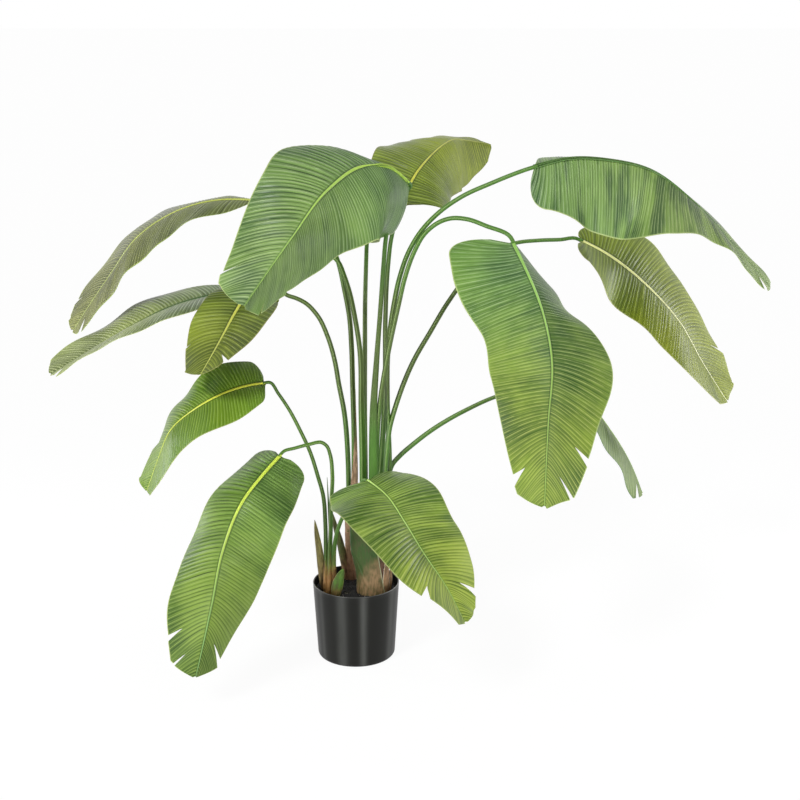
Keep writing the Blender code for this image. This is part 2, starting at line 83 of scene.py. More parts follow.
# A smooth curve through evenly spaced values.
def ease(values, share):
    knots = np.array(values, float)
    last = len(knots) - 1
    x = np.clip(share, 0.0, 1.0) * last
    piece = np.clip(x.astype(int), 0, last - 1)
    u = x - piece
    slope = np.gradient(knots)
    curve = (1 + 2 * u) * (1 - u) ** 2 * knots[piece] + u * (1 - u) ** 2 * slope[piece]
    return curve + u * u * (3 - 2 * u) * knots[piece + 1] + u * u * (u - 1) * slope[piece + 1]


# Gentle irregular wave between about -1 and 1: three sines with seeded lengths and phases.
def wander(x, size, seed):
    rng = np.random.default_rng(seed)
    total = np.zeros_like(x)
    for _ in range(3):
        total += np.sin(2 * np.pi * x / (size * rng.uniform(0.6, 1.7)) + rng.uniform(0, 6.28))
    return total / 2.2


# Fills a mesh from whole arrays: points, face arrays of one size each, materials and point values.
def makeMesh(name, points, faceArrays, materials, faceMaterials=None, attributes=None, sharpAngle=50):
    mesh = bpy.data.meshes.new(name)
    mesh.vertices.add(len(points))
    mesh.vertices.foreach_set("co", np.asarray(points, np.float32).ravel())
    corners = np.concatenate([faces.ravel() for faces in faceArrays]).astype(np.int32)
    sizes = np.concatenate([np.full(len(faces), faces.shape[1]) for faces in faceArrays])
    mesh.loops.add(len(corners))
    mesh.loops.foreach_set("vertex_index", corners)
    mesh.polygons.add(len(sizes))
    mesh.polygons.foreach_set("loop_start", (np.cumsum(sizes) - sizes).astype(np.int32))
    if faceMaterials is not None:
        mesh.polygons.foreach_set("material_index", faceMaterials.astype(np.int32))
    for key, values in (attributes or {}).items():
        data = mesh.attributes.new(key, "FLOAT", "POINT").data
        data.foreach_set("value", np.asarray(values, np.float32).ravel())
    mesh.update(calc_edges=True)
    mesh.shade_smooth()
    mesh.set_sharp_from_angle(angle=math.radians(sharpAngle))
    for material in materials:
        mesh.materials.append(material)
    piece = bpy.data.objects.new(name, mesh)
    bpy.context.scene.collection.objects.link(piece)
    return piece


# Four-sided faces between the neighbours in a grid of point numbers.
def gridFaces(index):
    return np.stack([index[:-1, :-1], index[:-1, 1:], index[1:, 1:], index[1:, :-1]], -1).reshape(-1, 4)


# A thin closed sheet: an upper and a lower grid of points, joined round their border. Each face is of
# kind 0 above, 1 below and 2 on the border.
def closedSheet(upper, lower):
    rows, columns = upper.shape[:2]
    index = np.arange(rows * columns).reshape(rows, columns)
    top = gridFaces(index)
    ring = np.concatenate([index[0, :-1], index[:-1, -1], index[-1, :0:-1], index[:0:-1, 0]])
    after = np.roll(ring, -1)
    count = rows * columns
    border = np.stack([ring, ring + count, after + count, after], -1)
    faces = np.concatenate([top, top[:, ::-1] + count, border])
    kinds = np.repeat([0, 1, 2], [len(top), len(top), len(border)])
    return np.concatenate([upper.reshape(-1, 3), lower.reshape(-1, 3)]), faces, kinds


# A closed tube: a grid of rings round a path, with a middle point closing each end.
def closedTube(rings):
    rows, columns = rings.shape[:2]
    index = np.arange(rows * columns).reshape(rows, columns)
    index = np.concatenate([index, index[:, :1]], axis=1)
    points = np.concatenate([rings.reshape(-1, 3), rings[:1].mean(1), rings[-1:].mean(1)])
    middles = np.full((2, columns), rows * columns)
    middles[1] += 1
    low = np.stack([index[0, 1:], index[0, :-1], middles[0]], -1)
    high = np.stack([index[-1, :-1], index[-1, 1:], middles[1]], -1)
    return points, [gridFaces(index), np.concatenate([low, high])]


# Values on a tube's rings, with the two middle points added.
def tubeValues(values):
    return np.concatenate([values.ravel(), values[:1].mean(1), values[-1:].mean(1)])


# Values on a sheet's grid, the same on its upper and its lower side.
def sheetValues(looks):
    return {key: np.tile(values.ravel(), 2) for key, values in looks.items()}


# Points round an upright column: its middle, its two half sizes, the turn round it and the height.
def ovalRings(middle, halves, turn, height):
    x = middle[0] + halves[0] * np.cos(turn)
    y = middle[1] + halves[1] * np.sin(turn)
    return np.stack([x, y, height + 0.0 * turn], -1)


# Points round a path: its two half sizes and the turn round it, measured from the up direction.
def rodRings(points, up, side, halves, turn):
    rings = points[:, None] + up[:, None] * (halves[0] * np.cos(turn))[..., None]
    return rings + side[:, None] * (halves[1] * np.sin(turn))[..., None]


# rib is the midrib from its base to its tip, width the widest reach of the left and right half, face
# where the upper side looks. The other pairs of lists are for the left and right half, each spread
# evenly from base to tip: shape scales the plain outline, lean is how far a vein's outer end runs ahead
# along the rib, droop turns the half down from the face, in degrees, and curl is how much of that comes
# between rib and margin. foot is the share of the width at the base, full the share of the rib where
# all of it is reached, and calm how far before and after a place the rib's direction is taken.
# A tear is (half, vein root, depth, opening before and after it along the rib, lift in metres).
# look names the colours. shade scales them for the leaf and tints for its base and tip, and ribBase and
# ribEnd stand in for the rib's two. bands sets the broad streaks, spacing is how far the folds of each
# half lie apart in metres, and pleat how deep they are. ribWide scales the rib, ribStart is the share of
# its width at the base and the share of its length where it has the rest, and seed starts the waves.
leafPlans = {
    "top_front": dict(
        rib=[(0.113, 0.010, 1.046), (0.074, -0.036, 1.083), (0.025, -0.080, 1.090),
             (-0.040, -0.160, 1.055), (-0.110, -0.250, 0.970), (-0.195, -0.330, 0.855)],
        width=(0.150, 0.130), face=(0.3, -0.8, 0.5), foot=(0.8, 0.5), calm=0.14,
        shape=([0.66, 1.06, 0.99, 1.0, 1.0, 0.78, 0.55],
               [0.20, 0.30, 0.74, 1.03, 0.97, 0.97, 0.96, 0.92, 0.97, 1.3]),
        lean=([-0.13, -0.13, -0.03, 0.07, 0.10, 0.12, 0.10], [0.0, 0.02, 0.06, 0.09, 0.12, 0.14, 0.10]),
        droop=([24, 22, 48, 62, 62], [85, 36, 18, 33, 28]),
        curl=([46, 30, 10, 10, 10], [10, 10]),
        tears=[("left", 0.70, 0.30, 0.004, 0.018, 0.004), ("left", 0.84, 0.35, 0.006, 0.018, 0.003),
               ("right", 0.78, 0.40, 0.004, 0.016, 0.005)],
        look="green", pleat=(0.4, 1.5), spacing=(0.0058, 0.0092), seed=1, ribStart=(0.05, 0.22),
        shade=(0.78, 0.76, 0.70), tints=((0.92, 0.98, 1.00), (1.05, 1.02, 0.95))),
    "top_rear": dict(
        rib=[(0.100, 0.055, 0.990), (0.120, 0.090, 1.035), (0.160, 0.170, 1.080),
             (0.210, 0.270, 1.107), (0.250, 0.370, 1.097), (0.312, 0.440, 1.080)],
        width=(0.110, 0.125), face=(0.2, -0.4, 0.9), foot=(0.6, 0.95),
        shape=([1.0, 1.08, 1.08, 1.03, 1.0, 1.0, 1.0], [0.78, 0.82, 0.90, 0.97, 1.0, 0.95, 0.9]),
        lean=([-0.06, 0.02, 0.06, 0.10, 0.10, 0.08, 0.04], [0.06, 0.10, 0.12, 0.13, 0.12, 0.08, 0.04]),
        droop=([10, 8, 23, 23, 15], [10, 42, 58, 63, 58]),
        look="olive", pleat=(1.0, 1.0), spacing=(0.0080, 0.0080), seed=2, ribWide=0.70,
        shade=(0.72, 0.785, 0.27)),
    "right_high": dict(
        rib=[(0.365, -0.060, 1.085), (0.440, -0.040, 1.100), (0.520, -0.020, 1.095),
             (0.605, -0.010, 1.075), (0.710, -0.020, 1.000), (0.780, -0.040, 0.925),
             (0.858, -0.060, 0.838)],
        width=(0.120, 0.155), face=(0.0, -0.3, 1.0), foot=(0.6, 0.68),
        shape=([0.7, 1.0, 1.0, 1.0, 1.0, 1.0, 1.0], [0.70, 0.98, 1.02, 1.0, 0.53, 0.52, 0.8]),
        lean=([0.02, 0.04, 0.07, 0.09, 0.08, 0.06, 0.04], [-0.09, -0.02, 0.05, 0.09, 0.10, 0.10, 0.06]),
        droop=([6, 34, 32, 28, 20], [42, 58, 50, 5, -15, -12]),
        tears=[("right", 0.90, 0.50, 0.012, 0.012, 0.002)],
        look="green", pleat=(0.5, 0.55), spacing=(0.0060, 0.0060), seed=3, bands=2.8, ribStart=(0.15, 0.8),
        ribBase=(0.09, 0.19, 0.05), ribEnd=(0.10, 0.20, 0.05), shade=(0.80, 0.75, 0.72)),
    "right_rear": dict(
        rib=[(0.495, 0.200, 0.895), (0.550, 0.220, 0.866), (0.672, 0.250, 0.769),
             (0.738, 0.260, 0.695), (0.794, 0.260, 0.602), (0.855, 0.250, 0.510)],
        width=(0.110, 0.110), face=(0.5, -0.5, 0.7), foot=(0.35, 0.35),
        shape=([0.8, 1.2, 1.3, 1.22, 1.35, 1.15, 0.9], [1.7, 1.12, 0.86, 0.90, 0.90, 0.85, 0.7]),
        lean=([-0.03, 0.04, 0.08, 0.10, 0.13, 0.15, 0.10], [-0.08, 0.0, 0.06, 0.09, 0.11, 0.12, 0.08]),
        droop=([0, -5, 3, 8, 3], [-15, 22, 18, 0, -15]),
        tears=[("left", 0.70, 0.40, 0.006, 0.016, 0.003), ("left", 0.84, 0.40, 0.012, 0.012, 0.002)],
        look="yellow", pleat=(0.60, 0.40), spacing=(0.0084, 0.0104), seed=4, shade=(0.53, 0.58, 0.09)),
    "right_front": dict(
        rib=[(0.322, -0.106, 0.943), (0.340, -0.143, 0.909), (0.375, -0.210, 0.825),
             (0.392, -0.250, 0.735), (0.385, -0.280, 0.615), (0.380, -0.300, 0.447)],
        width=(0.140, 0.155), face=(0.1, -1.0, 0.4), foot=(0.6, 0.9), full=0.2,
        shape=([0.76, 0.80, 0.79, 0.88, 1.04, 0.99, 0.88, 0.76, 0.64, 0.4],
               [0.84, 0.99, 0.95, 1.02, 1.0, 0.70, 0.62]),
        lean=([0.0, 0.02, 0.03, 0.07, 0.13, 0.15, 0.10], [-0.20, -0.09, -0.01, 0.04, 0.08, 0.14, 0.10]),
        droop=([68, 52, 20, 16, -5], [28, 40, 43, 52, 35]),
        tears=[("left", 0.70, 0.35, 0.008, 0.014, 0.004), ("left", 0.83, 0.50, 0.012, 0.014, 0.004),
               ("right", 0.79, 0.35, 0.014, 0.014, 0.004)],
        look="green", pleat=(0.22, 0.30), spacing=(0.0070, 0.0070), seed=5, ribWide=0.85,
        shade=(0.78, 0.72, 0.50), tints=((0.80, 0.94, 1.15), (1.16, 1.03, 0.70)),
        ribBase=(0.22, 0.40, 0.09), ribEnd=(0.24, 0.36, 0.08)),
    "right_low": dict(
        rib=[(0.395, 0.130, 0.572), (0.450, 0.150, 0.568), (0.518, 0.170, 0.532),
             (0.580, 0.185, 0.457), (0.626, 0.190, 0.382), (0.658, 0.190, 0.306)],
        width=(0.090, 0.090), face=(0.7, -0.3, 0.6),
        lean=([-0.04, 0.02, 0.06, 0.10, 0.10, 0.10, 0.06], [-0.04, 0.02, 0.06, 0.10, 0.12, 0.14, 0.12]),
        shape=([1.0, 1.0], [1.0, 1.0, 1.0, 1.0, 1.0, 0.95, 0.9]),
        droop=([30, 30, 30, 30, 20], [-2, -2, -2, 3, 8]),
        tears=[("left", 0.84, 0.40, 0.014, 0.014, 0.002), ("right", 0.88, 0.60, 0.010, 0.012, 0.003)],
        look="pale", pleat=(0.8, 0.8), seed=6, shade=(0.45, 0.565, 0.30)),
    "left_high": dict(
        rib=[(-0.220, 0.150, 0.990), (-0.290, 0.160, 0.990), (-0.385, 0.180, 0.965),
             (-0.480, 0.190, 0.905), (-0.550, 0.200, 0.815), (-0.638, 0.190, 0.690)],
        width=(0.110, 0.110), face=(-0.4, -0.1, 0.9), foot=(0.3, 0.3),
        shape=([1.0, 1.0, 1.0, 0.94, 0.9, 0.9, 1.0], [0.8, 0.9, 1.0, 1.0, 1.0, 1.0, 1.1]),
        lean=([0.0, 0.05, 0.08, 0.10, 0.12, 0.13, 0.10], [0.0, 0.05, 0.08, 0.10, 0.12, 0.13, 0.10]),
        droop=([8, 10, 18, 13, 8], [12, 12, -2, -12, -15]),
        tears=[("right", 0.78, 0.35, 0.010, 0.014, 0.002), ("right", 0.90, 0.35, 0.008, 0.010, 0.002),
               ("left", 0.84, 0.40, 0.012, 0.012, 0.002)],
        look="grey", pleat=(0.7, 0.7), spacing=(0.0076, 0.0076), seed=7, shade=(0.39, 0.43, 0.20)),
    "left_far": dict(
        rib=[(-0.250, 0.120, 0.800), (-0.310, 0.115, 0.790), (-0.380, 0.100, 0.774),
             (-0.470, 0.085, 0.735), (-0.560, 0.070, 0.684), (-0.658, 0.045, 0.628)],
        width=(0.100, 0.100), face=(-0.3, -0.1, 0.9), foot=(0.5, 0.5),
        shape=([1.0, 1.05, 1.05, 1.05, 1.0, 1.0, 1.0], [0.6, 0.85, 1.0, 1.0, 0.96, 0.95, 1.0]),
        lean=([0.0, 0.05, 0.08, 0.10, 0.12, 0.13, 0.10], [0.0, 0.05, 0.08, 0.10, 0.12, 0.13, 0.10]),
        droop=([8, 0, -4, -10, -6], [0, -6, -6, -8, -18]),
        tears=[("left", 0.86, 0.40, 0.014, 0.014, 0.002)],
        look="greyDark", pleat=(0.6, 0.6), spacing=(0.0080, 0.0080), seed=8, ribWide=0.80,
        shade=(0.775, 0.845, 0.71)),
    "left_inner": dict(
        rib=[(-0.185, 0.050, 0.835), (-0.220, 0.020, 0.815), (-0.243, -0.030, 0.785),
             (-0.266, -0.080, 0.745), (-0.285, -0.120, 0.713), (-0.305, -0.160, 0.681)],
        width=(0.090, 0.090), face=(-0.3, -0.4, 0.8),
        shape=([1.0, 1.0, 1.1, 1.08, 1.05, 1.0, 1.0], [1.0, 0.95, 0.88, 0.95, 0.96, 0.85, 0.8]),
        lean=([0.0, 0.06, 0.10, 0.12, 0.14, 0.14, 0.10], [0.0, 0.05, 0.08, 0.10, 0.13, 0.16, 0.12]),
        droop=([28, 8, -5, -10, -20], [23, -12, -12, 0, 15]),
        tears=[("right", 0.62, 0.30, 0.006, 0.014, 0.002), ("right", 0.78, 0.30, 0.006, 0.014, 0.002),
               ("left", 0.77, 0.45, 0.010, 0.018, 0.002)],
        look="olive", pleat=(0.6, 0.6), spacing=(0.0088, 0.0088), seed=9, shade=(0.515, 0.58, 0.22)),
    "left_middle": dict(
        rib=[(-0.185, -0.050, 0.635), (-0.220, -0.070, 0.635), (-0.265, -0.090, 0.625),
             (-0.320, -0.110, 0.600), (-0.375, -0.120, 0.555), (-0.405, -0.120, 0.490),
             (-0.432, -0.120, 0.418)],
        width=(0.090, 0.090), face=(-0.4, -0.5, 0.8), foot=(0.45, 0.6),
        shape=([1.1, 1.05, 1.0, 0.93, 0.90, 0.85, 0.7], [1.2, 1.1, 0.98, 0.95, 1.0, 0.9, 0.8]),
        lean=([0.02, 0.05, 0.10, 0.12, 0.13, 0.12, 0.08], [-0.05, 0.0, 0.06, 0.09, 0.12, 0.14, 0.10]),
        droop=([10, 8, -2, -12, -20], [-10, -2, 18, 25, 5]),
        tears=[("right", 0.68, 0.35, 0.008, 0.014, 0.003), ("right", 0.84, 0.35, 0.010, 0.012, 0.002)],
        look="bright", pleat=(0.6, 0.6), spacing=(0.0060, 0.0062), seed=10, bands=0.4, ribWide=0.85,
        shade=(0.59, 0.64, 0.40)),
    "left_low": dict(
        rib=[(-0.150, -0.120, 0.500), (-0.185, -0.160, 0.470), (-0.225, -0.210, 0.425),
             (-0.260, -0.260, 0.340), (-0.280, -0.290, 0.240), (-0.316, -0.310, 0.086)],
        width=(0.110, 0.110), face=(-0.1, -0.9, 0.5),
        shape=([1.05, 0.97, 0.94, 0.96, 0.95, 0.72, 0.42], [1.04, 0.99, 0.98, 1.02, 1.01, 0.85, 0.75]),
        lean=([-0.07, -0.01, 0.06, 0.08, 0.11, 0.15, 0.12], [-0.05, -0.01, 0.05, 0.09, 0.12, 0.15, 0.12]),
        droop=([33, 8, 30, 55, 60], [44, 40, 36, 15, -2]),
        tears=[("right", 0.74, 0.35, 0.006, 0.012, 0.002), ("right", 0.85, 0.40, 0.008, 0.012, 0.002),
               ("left", 0.80, 0.55, 0.012, 0.018, 0.003)],
        look="middle", pleat=(0.7, 1.2), spacing=(0.0068, 0.0084), seed=11, shade=(0.50, 0.55, 0.44),
        tints=((0.90, 0.97, 1.00), (1.12, 1.03, 0.85))),
    "front_low": dict(
        rib=[(0.030, -0.120, 0.445), (0.075, -0.190, 0.430), (0.105, -0.240, 0.400),
             (0.145, -0.280, 0.345), (0.190, -0.310, 0.285), (0.227, -0.330, 0.216)],
        width=(0.110, 0.125), face=(0.3, -0.6, 0.8), foot=(0.7, 0.9), calm=0.12,
        shape=([0.88, 1.03, 0.95, 1.01, 0.96, 0.60, 0.8], [0.64, 0.9, 1.0, 0.97, 0.89, 0.72, 0.4]),
        lean=([-0.10, -0.04, 0.05, 0.08, 0.11, 0.15, 0.12], [-0.12, -0.09, 0.02, 0.07, 0.10, 0.12, 0.10]),
        droop=([5, -2, 3, 8, 8], [20, 0, -17, -27, -45]),
        tears=[("left", 0.75, 0.50, 0.006, 0.024, 0.003), ("right", 0.67, 0.30, 0.010, 0.018, 0.003)],
        look="middle", pleat=(0.9, 1.1), spacing=(0.0064, 0.0070), seed=12, bands=1.4, ribWide=0.50,
        ribBase=(0.36, 0.52, 0.13), ribEnd=(0.28, 0.44, 0.11), shade=(0.86, 0.81, 0.70),
        tints=((0.90, 0.96, 1.00), (1.15, 1.04, 0.75))),
    "rear": dict(
        rib=[(0.025, 0.100, 0.980), (0.005, 0.160, 1.020), (-0.015, 0.260, 1.020),
             (-0.035, 0.380, 0.970), (-0.055, 0.500, 0.850)],
        width=(0.100, 0.100), face=(0.0, 0.2, 1.0), foot=(0.5, 0.5),
        lean=([-0.06, 0.02, 0.08, 0.10, 0.12, 0.14, 0.10], [-0.06, 0.02, 0.08, 0.10, 0.12, 0.14, 0.10]),
        droop=([15, 15, 20, 20, 15], [15, 15, 20, 20, 15]),
        tears=[("left", 0.78, 0.35, 0.008, 0.014, 0.002)],
        look="green", pleat=(0.9, 0.9), seed=13, shade=(0.82, 0.80, 0.76)),
}

# Metres, or shares of the rib for tipLast, lobe, full, calm and riseReach. leastWidth, leastReach,
# keelWide and grooveAway are in half widths of the rib, and so are ribColumns, the places across it.
# bladeColumns are shares of the way from there to the margin. foot, full, calm, spacing and plainHalves
# serve where a leaf has none of its own.
leafMake = dict(
    rowStep=0.0016, tipLast=0.992, skin=0.0008, lobe=0.055, foot=(0.6, 0.6), full=0.33, calm=0.08,
    ribBase=0.0042, ribTip=0.0011, leastWidth=1.9, leastReach=1.8, riseBase=0.0032, rise=0.0016,
    riseReach=0.06, keelBase=0.0034, keelTip=0.0010, keelWide=1.2, groove=0.0008, grooveAway=1.3,
    grooveWide=0.004, spacing=(0.009, 0.009), pleatHeight=0.0019, waveLength=0.11, waveHeight=0.0035,
    waveCurve=2.5, leanCurve=1.25, leanMost=0.8, tearLength=0.030)
plainHalves = dict(shape=([1.0, 1.0], [1.0, 1.0]), curl=([10, 10], [10, 10]))
ribColumns = np.array([0.0, 0.4, 0.75, 1.0, 1.4])
bladeColumns = np.concatenate([np.linspace(0, 0.93, 10)[1:], [0.968, 0.99, 1.0]])


# Reach of a half blade: a sine rise from the foot share to the full width, then a blunt taper.
def leafOutline(root, foot, full):
    rise = foot + (1 - foot) * np.sin(np.pi / 2 * np.clip(root / full, 0, 1))
    taper = (1 - np.clip((root - full) / (1 - full), 0, 1) ** 2.3) ** 0.72
    return rise * taper


# The base is rounded: the outline starts near the rib and reaches its foot share over the lobe.
def lobeRounding(root):
    away = np.clip(1 - root / leafMake["lobe"], 0, 1)
    return np.sqrt(np.clip(1 - away ** 2.2, 0, 1))


# Tears bite in from the margin as V notches that open before and after their vein.
def tornReach(plan, half, root):
    reach = np.ones_like(root)
    for side, middle, depth, before, after, _ in plan.get("tears", ()):
        if side == half:
            span = np.where(root < middle, before, after)
            reach = np.minimum(reach, 1 - depth * np.clip(1 - np.abs(root - middle) / span, 0, 1))
    return reach


# Beside a tear one lip lifts and the other sinks, most at the margin, dying away along the blade.
def tearLift(plan, half, root, out, length):
    lift = np.zeros_like(out)
    for side, middle, depth, _, _, height in plan.get("tears", ()):
        if side == half:
            away = (root - middle)[:, None] * length
            near = np.sign(away) * np.exp(-np.abs(away) / leafMake["tearLength"])
            lift += height * near * fade(0.9 - depth, 1.05, out)
    return lift


# Middle of the blade with its length, side and face directions at shares along the rib.
def bladeFrame(plan, here):
    calm = plan.get("calm", leafMake["calm"])
    middle = alongPath(plan["rib"], here)
    along = unit(alongPath(plan["rib"], here + calm) - alongPath(plan["rib"], here - calm))
    face = np.broadcast_to(np.array(plan["face"], float), along.shape)
    face = unit(face - (face * along).sum(-1, keepdims=True) * along)
    return middle, along, np.cross(face, along), face


# Pleats follow the veins: rounded pillows with sharp valleys, their spacing and depth wandering, that
# flatten toward the margin and the tip. Returns the height, the phase with one fold in each half turn,
# and how strong the fold is.
def pleats(run, out, deep, spacing, seed, length):
    phase = np.pi * run / spacing + 0.9 * wander(run, spacing * 7, seed)
    phase = phase + 0.25 * wander(run, spacing * 2.6, seed + 50)
    phase = phase + 0.25 * wander(run + 0.2 * out * spacing, spacing * 5, seed + 70) * out
    pillow = np.abs(np.sin(phase)) ** 0.8
    depth = 0.85 + 0.35 * wander(run, spacing * 3.4, seed + 90)
    uneven = out + 0.10 * wander(run, spacing * 4, seed + 30)
    cover = fade(0.02, 0.14, out) * (1 - 0.80 * fade(0.50, 0.98, uneven))
    calm = 1 - 0.92 * fade(0.50, 0.84, run / length)
    height = leafMake["pleatHeight"] * deep * cover * depth * calm * (pillow - 0.6)
    fold = depth * (0.25 + 0.75 * cover) * fade(0.01, 0.05, out) * min(1.0, 0.30 + 0.70 * deep)
    return height, phase, np.clip(fold, 0, 1)


# Height of the rib over the blade: it falls quickly past the base, then evenly to the tip.
def ribRise(roots):
    extra = leafMake["riseBase"] - leafMake["rise"]
    rise = leafMake["rise"] + extra * np.exp(-roots / leafMake["riseReach"])
    return rise * (0.35 + 0.65 * (1 - roots))


# The two halves side by side. The left one is turned round, and the rib's middle is kept once.
def joinHalves(left, right):
    return np.concatenate([left[:, ::-1], right[:, 1:]], axis=1)


# The upper side of a leaf: a point lies at its vein's root on the rib plus its distance out along a
# direction that droops with the blade, then moves along the surface's normal by the relief, which is
# rib, groove, pleats, margin wave and tear lift added up. Returns the grid and what its shader reads.
def leafSurface(plan):
    length = pathLength(plan["rib"])
    roots = [np.linspace(0, leafMake["tipLast"], int(length / leafMake["rowStep"])),
             np.linspace(0, 0.03, 12), np.linspace(0.95, leafMake["tipLast"], 14)]
    for _, middle, _, before, after, _ in plan.get("tears", ()):
        roots += [np.linspace(middle - before, middle, 7), np.linspace(middle, middle + after, 7)]
    roots = np.unique(np.concatenate(roots).round(5))
    ribHalf = leafMake["ribTip"] + (leafMake["ribBase"] - leafMake["ribTip"]) * (1 - roots) ** 0.9
    thin, until = plan.get("ribStart", (1.0, 0.1))
    grown = fade(0.7 * until, 1.3 * until, roots)
    ribHalf = ribHalf * plan.get("ribWide", 1.0) * (thin + (1 - thin) * grown)
    grids = []
    for index, half in enumerate(("left", "right")):
        sign = 1.0 - 2.0 * index
        foot = plan.get("foot", leafMake["foot"])[index]
        shape = leafOutline(roots, foot, plan.get("full", leafMake["full"])) * lobeRounding(roots)
        shape = shape * ease(plan.get("shape", plainHalves["shape"])[index], roots)
        width = np.maximum(plan["width"][index] * shape, ribHalf * leafMake["leastWidth"])
        reach = np.maximum(width * tornReach(plan, half, roots), ribHalf * leafMake["leastReach"])
        start = ribHalf * ribColumns[-1]
        x = np.concatenate([ribHalf[:, None] * ribColumns,
                            start[:, None] + (reach - start)[:, None] * bladeColumns], axis=1)
        out = x / width[:, None]
        lean = ease(plan["lean"][index], roots)
        ahead = np.minimum(lean, leafMake["leanMost"] * (1 - roots))
        lean = np.where(lean < 0, lean * lobeRounding(roots), ahead)[:, None]
        first = (start / width)[:, None]
        here = roots[:, None] + lean * np.clip((out - first) / (1 - first), 0, 1) ** leafMake["leanCurve"]
        middle, _, side, face = bladeFrame(plan, here)
        curl = ease(plan.get("curl", plainHalves["curl"])[index], here)
        turn = np.radians(ease(plan["droop"][index], here) + curl * (out - 1))[..., None]
        outward = np.cos(turn) * side * sign - np.sin(turn) * face
        normal = np.cos(turn) * face + np.sin(turn) * side * sign
        run = np.broadcast_to(roots[:, None] * length, x.shape)
        spacing = plan.get("spacing", leafMake["spacing"])[index]
        seed = plan["seed"] * 7 + index
        height, phase, fold = pleats(run, out, plan["pleat"][index], spacing, seed, length)
        ribShare = x / ribHalf[:, None]
        height += ribRise(roots)[:, None] * np.sqrt(np.clip(1 - ribShare ** 2, 0, 1))
        beside = (x - ribHalf[:, None] * leafMake["grooveAway"]) / leafMake["grooveWide"]
        height -= leafMake["groove"] * np.exp(-beside ** 2)
        wave = wander(run, leafMake["waveLength"], plan["seed"] * 11 + index)
        past = fade(0, 0.08, roots)[:, None]
        height += leafMake["waveHeight"] * wave * out ** leafMake["waveCurve"] * past
        height += tearLift(plan, half, roots, out, length)
        points = middle + x[..., None] * outward + height[..., None] * normal
        veinRun = run + plan["seed"] * 3.1 + index * 1.7
        alongRib = np.broadcast_to(roots[:, None], x.shape)
        grids.append(dict(points=points, veinRun=veinRun, fromRib=x, share=out, alongRib=alongRib,
                          ribShare=ribShare, phase=phase, fold=fold))
    looks = {key: joinHalves(grids[0][key], grids[1][key]) for key in grids[0]}
    return looks.pop("points"), looks, roots


# The lower side is the upper side moved back by the skin, and by a half-round keel under the rib.
def lowerSide(upper, looks, roots):
    across = np.gradient(upper, axis=1)
    down = np.gradient(upper, axis=0)
    normal = unit(np.cross(across, down))
    keel = leafMake["keelTip"] + (leafMake["keelBase"] - leafMake["keelTip"]) * (1 - roots)
    bulge = np.sqrt(np.clip(1 - (looks["ribShare"] / leafMake["keelWide"]) ** 2, 0, 1))
    thick = leafMake["skin"] + (keel + ribRise(roots))[:, None] * bulge
    return upper - normal * thick[..., None]


